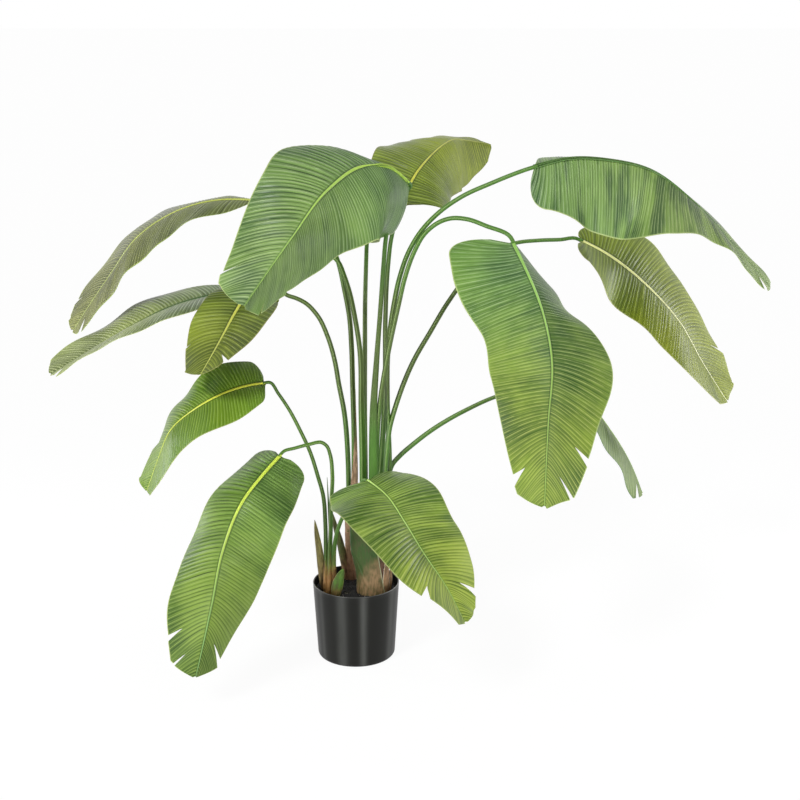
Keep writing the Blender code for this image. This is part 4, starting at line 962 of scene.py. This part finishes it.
# A wrapped sheath: a sheet round the column from its low to its high edge. Its two sides run straight
# from their turn at the foot to their turn at the top, it stands off by its gap, bulges along its first
# side, and its top rises to a point between the sides.
def wrapSheet(knots, plan):
    climb = np.linspace(0, 1, wrapMake["rows"])[:, None]
    across = np.linspace(-1, 1, wrapMake["columns"])[None]
    top = plan["high"] - plan.get("point", 0.0) * np.abs(across) ** 1.3
    heights = plan["low"] + (top - plan["low"]) * climb
    first, second = [low + (high - low) * climb for low, high in plan["sides"]]
    turn = np.radians(first + (second - first) * (across + 1) / 2)
    midX, midY, halfX, halfY = columnAt(knots, heights)
    bulge = fade(0.15, 0.60, climb) * (1 - 0.4 * fade(0.7, 1.0, climb)) * fade(0.0, -1.0, across) ** 1.5
    stand = plan["gap"] + plan.get("bulge", 0.0) * bulge
    ripple = wander(turn * 0.03 + 0.1 * climb, 0.011, plan["seed"])
    stand = stand + plan.get("ripple", wrapMake["ripple"]) * ripple
    skin = wrapMake["skin"] * (1 - 0.6 * np.abs(across) ** 6)
    upper = ovalRings((midX, midY), (halfX + stand, halfY + stand), turn, heights)
    lower = ovalRings((midX, midY), (halfX + stand - skin, halfY + stand - skin), turn, heights)
    fibre = turn * (halfX + halfY) / 2 + plan["seed"]
    edge = fade(0.95, 0.985, np.abs(across)) + 0.0 * climb
    edge = np.maximum(edge, fade(0.985, 1.0, climb) + 0.0 * across) * plan.get("pale", wrapMake["pale"])
    return upper, lower, dict(fibre=fibre, edge=edge)


# column is what it is wrapped round, low and high are its ends in metres, and sides the turns of its two
# sides at the foot and the top, in degrees. gap is how far it stands off, bulge how far it swells, point
# how far its sides fall below its top, ripple how uneven it is and pale how pale its edge is.
wrapPlans = {
    "mainBaseFrontWrap": dict(column="main", look="front", low=soilTop - 0.003, high=0.345, gap=0.0032,
                              sides=((182, 180), (318, 252)), bulge=0.013, seed=1),
    "mainBaseRightWrap": dict(column="main", look="brown", low=soilTop - 0.003, high=0.310, gap=0.0020,
                              sides=((303, 325), (388, 372)), point=0.03, pale=1.0, seed=2),
    "mainBaseSlitWrap": dict(column="main", look="inner", low=soilTop + 0.010, high=0.330, gap=0.0008,
                             sides=((280, 276), (326, 316)), point=0.02, seed=3),
    "mainBaseBackWrap": dict(column="main", look="brown", low=soilTop - 0.003, high=0.330, gap=0.0010,
                             sides=((20, 8), (186, 190)), point=0.05, seed=4),
    "rearBaseWrap": dict(column="rear", look="pink", low=soilTop - 0.002, high=0.372, gap=0.0012,
                         sides=((178, 190), (350, 325)), point=0.02, seed=5),
    "rearBaseBackWrap": dict(column="rear", look="pink", low=soilTop - 0.002, high=0.350, gap=0.0008,
                             sides=((-15, 10), (185, 170)), point=0.01, seed=6),
    "rearBaseTallWrap": dict(column="tall", look="tall", low=0.330, high=0.600, gap=0.0010,
                             sides=((190, 290), (400, 320)), point=0.11, ripple=0.0002, seed=7),
}
# Turn, Blend and Slant place the line between the brown foot and the green above it.
sheathColors = {
    "front": {"Green": (0.032, 0.070, 0.012), "Brown": (0.235, 0.150, 0.073), "Dark": (0.055, 0.060, 0.018),
              "Edge": (0.50, 0.56, 0.34), "Turn": 0.183, "Blend": 0.020, "Slant": 1.1},
    "brown": {"Green": (0.170, 0.190, 0.070), "Brown": (0.360, 0.210, 0.100), "Dark": (0.085, 0.055, 0.025),
              "Edge": (0.80, 0.72, 0.58), "Turn": 0.255, "Blend": 0.030},
    # The sheath in the slit: its own brown, painted much darker to stand in for the shade inside the narrow
    # slit.
    "inner": {"Green": (0.100, 0.055, 0.030), "Brown": (0.120, 0.060, 0.035), "Dark": (0.030, 0.015, 0.010),
              "Edge": (0.30, 0.20, 0.12), "Turn": 0.255, "Blend": 0.030},
    "pink": {"Green": (0.560, 0.370, 0.240), "Brown": (0.560, 0.340, 0.210), "Dark": (0.260, 0.130, 0.080),
             "Edge": (0.80, 0.66, 0.50), "Turn": 0.330, "Blend": 0.060},
    "tall": {"Green": (0.170, 0.200, 0.070), "Brown": (0.620, 0.390, 0.250), "Dark": (0.200, 0.120, 0.070),
             "Edge": (0.50, 0.42, 0.28), "Turn": 0.475, "Blend": 0.030},
    "side": {"Green": (0.105, 0.200, 0.030), "Brown": (0.470, 0.245, 0.085), "Dark": (0.140, 0.080, 0.030),
             "Edge": (0.40, 0.38, 0.20), "Turn": 0.215, "Blend": 0.022},
    "olive": {"Green": (0.270, 0.235, 0.075), "Brown": (0.250, 0.140, 0.070), "Dark": (0.090, 0.070, 0.026),
              "Edge": (0.46, 0.42, 0.20), "Turn": 0.195, "Blend": 0.050},
    "lean": {"Green": (0.165, 0.200, 0.060), "Brown": (0.430, 0.240, 0.140), "Dark": (0.080, 0.065, 0.030),
             "Edge": (0.32, 0.34, 0.16), "Turn": 0.200, "Blend": 0.025},
    "leafy": {"Green": (0.085, 0.190, 0.022), "Brown": (0.290, 0.180, 0.070), "Dark": (0.060, 0.080, 0.020),
              "Edge": (0.36, 0.34, 0.13), "Turn": 0.168, "Blend": 0.014},
}
sheathFinish = dict(bumpDistance=0.0006, specular=0.3)
sheathMaterials = {key: newMaterial(key + "Sheath", sheathLook, values, **sheathFinish)
                   for key, values in sheathColors.items()}

# Share of the column, number and depth of the ridges, and the look.
corePlans = {"main": (0.95, 9, 0.10, "brown"), "rear": (0.90, 5, 0.10, "pink")}
for number, (name, (shrink, ridges, depth, look)) in enumerate(corePlans.items()):
    rings, looks = coreRings(columnPlans[name], shrink, ridges, depth, number + 1)
    points, faces = closedTube(rings)
    piece = makeMesh(name + "BaseCore", points, faces, [sheathMaterials[look]],
                     attributes={key: tubeValues(value) for key, value in looks.items()})
    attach(piece, "root")
    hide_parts("base_" + name)

# The side cluster: five swollen stem feet close together, oval low down and narrowing into the stalks
# that rise from them. Each is a route up from the soil with its half width and half depth at the foot.
footMake = dict(rows=50, sides=36, narrow=0.48, ridges=5, ridgeHigh=0.04)
sideFeet = {
    "sideBaseLeft": ([(-0.0665, -0.021, soilTop - 0.003), (-0.0655, -0.019, 0.200),
                      (-0.065, -0.018, 0.275)], 0.0058, 0.0085),
    "sideBaseMiddle": ([(-0.0575, -0.026, soilTop - 0.003), (-0.0570, -0.025, 0.190),
                        (-0.0548, -0.031, 0.268)], 0.0060, 0.0085),
    "sideBaseRight": ([(-0.0480, -0.023, soilTop - 0.003), (-0.0475, -0.025, 0.205),
                       (-0.0435, -0.041, 0.272)], 0.0062, 0.0080),
    "sideBaseSpear": ([(-0.0580, -0.010, soilTop - 0.003), (-0.0560, -0.010, 0.200),
                       (-0.0548, -0.0105, 0.265)], 0.0060, 0.0075),
    "sideBaseBack": ([(-0.0500, -0.008, soilTop - 0.003), (-0.0500, -0.009, 0.190),
                      (-0.0520, -0.010, 0.235)], 0.0058, 0.0070),
}
for number, (name, (route, halfWidth, halfDepth)) in enumerate(sideFeet.items()):
    climb = np.linspace(0, 1, footMake["rows"])
    points = alongPath(route, climb)
    theta = np.linspace(0, 2 * np.pi, footMake["sides"], endpoint=False)
    narrow = 1 - footMake["narrow"] * fade(0.1, 1.0, climb)[:, None]
    ridge = 1 + footMake["ridgeHigh"] * np.cos(footMake["ridges"] * theta + number)
    halves = (halfWidth * narrow * ridge, halfDepth * narrow ** 1.8 * ridge)
    rings = ovalRings((points[:, :1], points[:, 1:2]), halves, theta, points[:, 2:])
    fibre = theta * halfWidth + 0.0 * climb[:, None] + number
    points, faces = closedTube(rings)
    piece = makeMesh(name, points, faces, [sheathMaterials["side"]],
                     attributes={"fibre": tubeValues(fibre), "edge": np.zeros(len(points))})
    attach(piece, "root")
    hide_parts("base_side")
for name, plan in wrapPlans.items():
    upper, lower, looks = wrapSheet(columnPlans[plan["column"]], plan)
    points, faces, _ = closedSheet(upper, lower)
    material = sheathMaterials[plan["look"]]
    piece = makeMesh(name, points, [faces], [material], attributes=sheetValues(looks))
    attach(piece, "root")
    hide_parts("base_rear" if plan["column"] == "tall" else "base_" + plan["column"])

# Free sheaths and the small shoot: route up from the soil, half width, fold depth, where the hollow
# side looks, share of the width at the foot, the look and the slot.
stripMake = dict(rows=80, columns=33, widest=0.42, least=0.0004, skin=0.0013, pale=0.8)
stripPlans = {
    "sheath_left": ([(-0.0735, -0.008, soilTop - 0.002), (-0.0755, -0.010, 0.200), (-0.079, -0.013, 0.245),
                     (-0.084, -0.017, 0.285), (-0.088, -0.020, 0.320)],
                    0.0090, 0.0034, (0.15, 1.0, 0.0), 0.42, "olive", "sheath"),
    "sheath_lean": ([(-0.020, 0.053, soilTop - 0.002), (-0.027, 0.050, 0.190), (-0.037, 0.046, 0.245),
                     (-0.047, 0.043, 0.285), (-0.053, 0.042, 0.316)],
                    0.0090, 0.0040, (0.1, 1.0, 0.0), 0.95, "lean", "sheath"),
    "sheath_right": ([(0.0735, -0.014, soilTop - 0.002), (0.0765, -0.014, 0.175), (0.0765, -0.014, 0.200),
                      (0.074, -0.013, 0.226)], 0.0046, 0.0020, (-1.0, 0.9, 0.0), 0.60, "brown", "sheath"),
    "shoot_small": ([(-0.0440, -0.046, soilTop - 0.002), (-0.0405, -0.046, 0.172), (-0.0345, -0.045, 0.194),
                     (-0.0260, -0.043, 0.216)], 0.0128, 0.0048, (0.1, 1.0, 0.0), 0.62, "leafy", "shoot"),
}


# A pointed strip: it widens from its foot to two fifths of its height, then narrows to a tip, and is
# folded like a gutter whose hollow looks the given way.
def stripSheet(route, halfWidth, fold, hollow, foot):
    climb = np.linspace(0, 1, stripMake["rows"])
    points = alongPath(route, climb)
    up, side = pathFrame(points, hollow)
    swell = foot + (1 - foot) * np.sin(np.pi / 2 * np.clip(climb / stripMake["widest"], 0, 1))
    grow = swell * (1 - climb ** 3.2) ** 0.75
    across = np.linspace(-1, 1, stripMake["columns"])
    wide = np.maximum(halfWidth * grow, stripMake["least"])[:, None] * across
    sunk = -(fold * grow)[:, None] * (1 - across ** 2)
    upper = points[:, None] - side[:, None] * wide[..., None] + up[:, None] * sunk[..., None]
    skin = stripMake["skin"] * (1 - 0.7 * np.abs(across) ** 4) * (0.35 + 0.65 * (1 - climb[:, None]))
    lower = upper - up[:, None] * skin[..., None]
    edge = fade(0.90, 0.99, np.abs(across))[None] * np.ones_like(climb)[:, None] * stripMake["pale"]
    return upper, lower, dict(fibre=wide, edge=edge)


for name, (route, halfWidth, fold, hollow, foot, look, slot) in stripPlans.items():
    upper, lower, looks = stripSheet(route, halfWidth, fold, hollow, foot)
    points, faces, _ = closedSheet(upper, lower)
    material = sheathMaterials[look]
    piece = makeMesh(pieceName(name), points, [faces], [material], attributes=sheetValues(looks))
    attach(piece, "root")
    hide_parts(name)

# The spear is a leaf that has not opened: a thin rod with three twisted ridges, that narrows to a point.
spearPlan = dict(path=[(-0.054, -0.010, 0.180), (-0.054, -0.010, 0.246), (-0.056, -0.011, 0.300),
                       (-0.060, -0.014, 0.415)],
                 front=(0.0, -1.0, 0.0), rows=60, sides=20, low=0.0032, tip=0.0005, ridges=3,
                 ridgeHigh=0.10, twist=6)
share = np.linspace(0, 1, spearPlan["rows"])
points = alongPath(spearPlan["path"], share)
up, side = pathFrame(points, spearPlan["front"])
theta = np.linspace(0, 2 * np.pi, spearPlan["sides"], endpoint=False)
radius = (spearPlan["tip"] + (spearPlan["low"] - spearPlan["tip"]) * (1 - share ** 2.2))[:, None]
turned = spearPlan["ridges"] * theta + spearPlan["twist"] * share[:, None]
radius = radius * (1 + spearPlan["ridgeHigh"] * np.cos(turned))
points, faces = closedTube(rodRings(points, up, side, (radius, radius), theta))
piece = makeMesh("spearTip", points, faces, [stalkMaterials["low"]],
                 attributes={"edge": np.zeros(len(points))})
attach(piece, "root")
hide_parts("spear")
print("stem bases and sheaths built")


# middle is the radius of the rings round the axis, and cornerIn how far the floor's edge lies in from the
# wall. The rim is half a round, with a painted highlight on it above a given height. A band of painted
# reflection is (turn in degrees, half width, strength), and outerSkin is how near the outer wall it has to
# lie.
potPlan = dict(height=0.170, rimRadius=0.095, footRadius=0.085, footRound=0.008, wall=0.0025, floor=0.004,
               cornerIn=0.006, middle=0.004, wallFoot=0.02, wallTop=0.1685, lipFoot=0.1688, lipHigh=0.0012,
               insideTop=0.167, insideFoot=0.012, sides=192, highlightFrom=0.1684, highlightFull=0.1692,
               highlightLeast=0.12, highlightMore=0.75, outerSkin=0.001,
               flowBands=((-108.7, 7, 0.65), (-78.5, 5, 0.75), (-143, 4, 0.5), (-33, 6, 0.7),
                          (-165, 4, 0.3), (12, 6, 0.7), (48, 5, 0.5), (80, 7, 0.7), (116, 5, 0.7),
                          (150, 6, 0.6)))


# Outer radius of the wall, which widens evenly from foot to rim.
def wallRadius(height):
    widening = potPlan["rimRadius"] - potPlan["footRadius"]
    return potPlan["footRadius"] + widening * height / potPlan["height"]


# An outline of (radius, height) turned round the axis.
def turnedRings(outline, sides):
    turn = np.linspace(0, 2 * np.pi, sides, endpoint=False)
    radius, height = np.array(outline, float).T[..., None]
    return ovalRings((0, 0), (radius, radius), turn, height)


# The pot's outline runs from the middle of its underside round its foot, up the wall, over the lip and
# down inside to the middle of its floor.
bend = np.radians(np.linspace(-90, 0, 9))
footMiddle = wallRadius(potPlan["footRound"]) - potPlan["footRound"]
outline = [(radius, 0.0) for radius in (potPlan["middle"], 0.030, 0.060)]
outline += [(footMiddle + potPlan["footRound"] * math.cos(turn),
             potPlan["footRound"] * (1 + math.sin(turn))) for turn in bend]
outline += [(wallRadius(height), height)
            for height in np.linspace(potPlan["wallFoot"], potPlan["wallTop"], 16)]
lipBend = np.radians(np.linspace(0, 180, 9))
lipMiddle = potPlan["rimRadius"] - potPlan["wall"] / 2
outline += [(lipMiddle + potPlan["wall"] / 2 * math.cos(turn),
             potPlan["lipFoot"] + potPlan["lipHigh"] * math.sin(turn)) for turn in lipBend]
outline += [(wallRadius(height) - potPlan["wall"], height)
            for height in np.linspace(potPlan["insideTop"], potPlan["insideFoot"], 14)]
floorEdge = wallRadius(0) - potPlan["wall"] - potPlan["cornerIn"]
outline += [(radius, potPlan["floor"]) for radius in (floorEdge, 0.040, potPlan["middle"])]
points, faces = closedTube(turnedRings(outline, potPlan["sides"]))

# The painted reflection bands and the painted rim highlight are values at the points. Only the outer wall
# has the bands.
turns = np.degrees(np.arctan2(points[:, 1], points[:, 0]))
flow = np.zeros(len(points))
# Each band is a painted reflection of a tall lamp down the outer wall.
for middle, halfWidth, strength in potPlan["flowBands"]:
    away = (turns - middle + 180) % 360 - 180
    flow = np.maximum(flow, strength * np.exp(-(away / halfWidth) ** 2))
radii = np.hypot(points[:, 0], points[:, 1])
flow *= radii > wallRadius(points[:, 2]) - potPlan["outerSkin"]
# Painted highlight on the rim: strongest on the left and right of the pot, fading in over its top.
highlightByTurn = potPlan["highlightLeast"] + potPlan["highlightMore"] * np.cos(np.radians(turns)) ** 4
lip = fade(potPlan["highlightFrom"], potPlan["highlightFull"], points[:, 2]) * highlightByTurn
# The second colour is that of the painted reflection bands, the third that of the painted rim highlight.
potColors = {"Base": (0.0040, 0.0042, 0.0030), "Flow": (0.062, 0.064, 0.060), "Lip": (0.36, 0.36, 0.36)}
potMaterial = newMaterial("blackPlastic", plasticLook, potColors, bumpDistance=0.00004, specular=0.22)
pot = makeMesh("potTub", points, faces, [potMaterial], sharpAngle=60,
               attributes={"flow": flow, "lip": lip})
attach(pot, "root")
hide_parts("pot")

# Soil: a plug that fills the pot, with crumbs scattered over its top. It lies in from the wall by clear,
# by cornerIn at its foot and by edgeIn at its top. A crumb is a rough ball of twenty faces. raised is how
# far its middle lies above the soil, as a share of its size, and specks the share of pale crumbs.
soilPlan = dict(level=0.1515, low=0.0045, edgeLevel=0.1505, clear=0.0028, cornerIn=0.0092, edgeIn=0.0032,
                middle=0.004, topRings=70, sides=240, lumpHigh=0.0016, grainHigh=0.0007, crumbs=1500,
                crumbReach=0.0875, crumbSize=(0.0005, 0.0017), crumbRough=(0.65, 1.25), raised=0.35,
                specks=0.03, seed=5)
ballTurn = (1 + 5 ** 0.5) / 2
ball = unit(np.array([(-1, ballTurn, 0), (1, ballTurn, 0), (-1, -ballTurn, 0), (1, -ballTurn, 0),
                      (0, -1, ballTurn), (0, 1, ballTurn), (0, -1, -ballTurn), (0, 1, -ballTurn),
                      (ballTurn, 0, -1), (ballTurn, 0, 1), (-ballTurn, 0, -1), (-ballTurn, 0, 1)]))
ballFaces = np.array([(0, 11, 5), (0, 5, 1), (0, 1, 7), (0, 7, 10), (0, 10, 11), (1, 5, 9), (5, 11, 4),
                      (11, 10, 2), (10, 7, 6), (7, 1, 8), (3, 9, 4), (3, 4, 2), (3, 2, 6), (3, 6, 8),
                      (3, 8, 9), (4, 9, 5), (2, 4, 11), (6, 2, 10), (8, 6, 7), (9, 8, 1)])


# Height of the soil's top: its level, with lumps and grains that are each two crossed waves.
def soilHeight(x, y):
    lumps = np.sin(150 * x + 2 * np.sin(120 * y)) * np.sin(170 * y + 2 * np.sin(90 * x + 1))
    grains = np.sin(610 * x + 3 * np.sin(380 * y)) * np.sin(570 * y + 3 * np.sin(420 * x + 2))
    return soilPlan["level"] + soilPlan["lumpHigh"] * lumps + soilPlan["grainHigh"] * grains


# The soil's outline runs from the middle of its underside up along the pot's wall and in over its top.
floorRadii = (soilPlan["middle"], 0.040, wallRadius(0) - soilPlan["cornerIn"])
outline = [(radius, soilPlan["low"]) for radius in floorRadii]
outline += [(wallRadius(height) - soilPlan["clear"], height)
            for height in (0.0125, 0.050, 0.090, 0.120, 0.1485)]
topRow = len(outline)
topRadii = np.linspace(wallRadius(0.15) - soilPlan["edgeIn"], 0.001, soilPlan["topRings"])
outline += [(radius, soilPlan["level"]) for radius in topRadii]
rings = turnedRings(outline, soilPlan["sides"])
rings[topRow:, :, 2] = soilHeight(rings[topRow:, :, 0], rings[topRow:, :, 1])
rings[topRow, :, 2] = np.minimum(rings[topRow, :, 2], soilPlan["edgeLevel"])
points, faces = closedTube(rings)

# Each crumb is the ball with its corners drawn in or out, at its own place and size.
rng = np.random.default_rng(soilPlan["seed"])
count = soilPlan["crumbs"]
away = soilPlan["crumbReach"] * np.sqrt(rng.random(count))
turn = rng.uniform(0, 2 * np.pi, count)
x, y = away * np.cos(turn), away * np.sin(turn)
sizes = rng.uniform(*soilPlan["crumbSize"], count)
shapes = ball[None] * rng.uniform(*soilPlan["crumbRough"], (count, len(ball), 1)) * sizes[:, None, None]
shapes = shapes + np.stack([x, y, soilHeight(x, y) + sizes * soilPlan["raised"]], -1)[:, None]
crumbFaces = ballFaces[None] + (len(points) + len(ball) * np.arange(count))[:, None, None]
speck = np.where(rng.random(count) < soilPlan["specks"], 1.0, 0.0)
values = np.concatenate([np.zeros(len(points)), np.repeat(speck, len(ball))])
points = np.concatenate([points, shapes.reshape(-1, 3)])
soilColors = {"Black": (0.008, 0.008, 0.009), "Brown": (0.022, 0.019, 0.018), "Speck": (0.30, 0.27, 0.24)}
soilMaterial = newMaterial("pottingSoil", soilLook, soilColors, bumpDistance=0.0010)
soil = makeMesh("soilFill", points, faces + [crumbFaces.reshape(-1, 3)], [soilMaterial],
                attributes={"speck": values}, sharpAngle=70)
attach(soil, "root")
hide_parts("fill")
print("soil and pot built")


# A wide white floor. glow is the share of the background's white that it shows to the camera.
floorPlan = dict(corners=[(-30, -30, 0), (30, -30, 0), (30, 60, 0), (-30, 60, 0)],
                 color=(0.96, 0.96, 0.96, 1), glow=0.94)
white = (1, 1, 1, 1)
floorMesh = bpy.data.meshes.new("floor")
floorMesh.from_pydata(floorPlan["corners"], [], [(0, 1, 2, 3)])
floor = bpy.data.objects.new("floor", floorMesh)
bpy.context.scene.collection.objects.link(floor)
floorMaterial = bpy.data.materials.new("paleFloor")
floorMaterial.use_nodes = True
tree = floorMaterial.node_tree
tree.nodes.remove(tree.nodes["Principled BSDF"])


# 1 on the rays that should meet the white background, 0 on the rays that light the plant.
def backgroundRays(tree):
    path = addNode(tree, "LightPath").outputs
    seen = calc(tree, "MAXIMUM", path["Is Camera Ray"], path["Is Glossy Ray"])
    return calc(tree, "MAXIMUM", seen, path["Is Transmission Ray"])


matte = addNode(tree, "BsdfDiffuse", {"Color": floorPlan["color"]}).outputs[0]
glow = addNode(tree, "Emission", {"Color": white, "Strength": 1.0}).outputs[0]
glowing = calc(tree, "MULTIPLY", backgroundRays(tree), floorPlan["glow"])
mixed = addNode(tree, "MixShader", {0: glowing, 1: matte, 2: glow}).outputs[0]
tree.links.new(mixed, tree.nodes["Material Output"].inputs["Surface"])
floorMesh.materials.append(floorMaterial)

# The world is white to the camera and lights the plant at worldLevel.
worldLevel = 0.34
world = bpy.data.worlds.new("studio")
bpy.context.scene.world = world
world.use_nodes = True
tree = world.node_tree
soft = tree.nodes["Background"]
soft.inputs["Color"].default_value = white
strength = calc(tree, "MULTIPLY_ADD", backgroundRays(tree), 1.0 - worldLevel, worldLevel)
tree.links.new(strength, soft.inputs["Strength"])

# The sun is the even key light. The strips stand on the floor round the plant and draw upright bands on
# glossy faces.
sunPlan = dict(place=(-1.4, -2.2, 3.2), aim=(0.1, 0.0, 0.6), strength=2.0, spread=14)
lampPlans = {
    "frontLamp": dict(place=(1.3, -3.4, 2.2), aim=(0.1, 0.0, 0.6), size=(1.6, 1.6), watts=16),
    "leftStrip": dict(place=(-1.45, -1.90, 0.60), aim=(0.0, 0.0, 0.45), size=(0.30, 1.2), watts=18),
    "rightStrip": dict(place=(0.95, -2.25, 0.60), aim=(0.0, 0.0, 0.45), size=(0.30, 1.2), watts=14),
    "leftRearStrip": dict(place=(-1.7, 0.55, 0.60), aim=(0.0, 0.0, 0.45), size=(0.35, 1.2), watts=10),
    "rightRearStrip": dict(place=(1.7, 0.55, 0.60), aim=(0.0, 0.0, 0.45), size=(0.35, 1.2), watts=10),
}


# Puts a lamp at its place, turned to shine at its aim.
def placeLamp(name, lamp, place, aim):
    holder = bpy.data.objects.new(name, lamp)
    holder.location = place
    toward = unit(np.array(aim) - np.array(place))
    flat = math.hypot(toward[0], toward[1])
    holder.rotation_euler = (math.atan2(flat, -toward[2]), 0, math.atan2(-toward[0], toward[1]))
    bpy.context.scene.collection.objects.link(holder)


sun = bpy.data.lights.new("sun", "SUN")
sun.energy = sunPlan["strength"]
sun.angle = math.radians(sunPlan["spread"])
placeLamp("sun", sun, sunPlan["place"], sunPlan["aim"])
for name, plan in lampPlans.items():
    lamp = bpy.data.lights.new(name, "AREA")
    lamp.shape = "RECTANGLE"
    lamp.size, lamp.size_y = plan["size"]
    lamp.energy = plan["watts"]
    placeLamp(name, lamp, plan["place"], plan["aim"])

cameraPlan = dict(place=(0.097, -3.0, 1.42), pitch=74.43, lens=65.7, sensor=36, farthest=200)
cameraData = bpy.data.cameras.new("camera")
cameraData.lens = cameraPlan["lens"]
cameraData.sensor_width = cameraPlan["sensor"]
cameraData.clip_end = cameraPlan["farthest"]
camera = bpy.data.objects.new("camera", cameraData)
camera.location = cameraPlan["place"]
camera.rotation_euler = (math.radians(cameraPlan["pitch"]), 0, 0)
bpy.context.scene.collection.objects.link(camera)
bpy.context.scene.camera = camera
bpy.context.scene.view_settings.view_transform = "Standard"

print("scene ready")
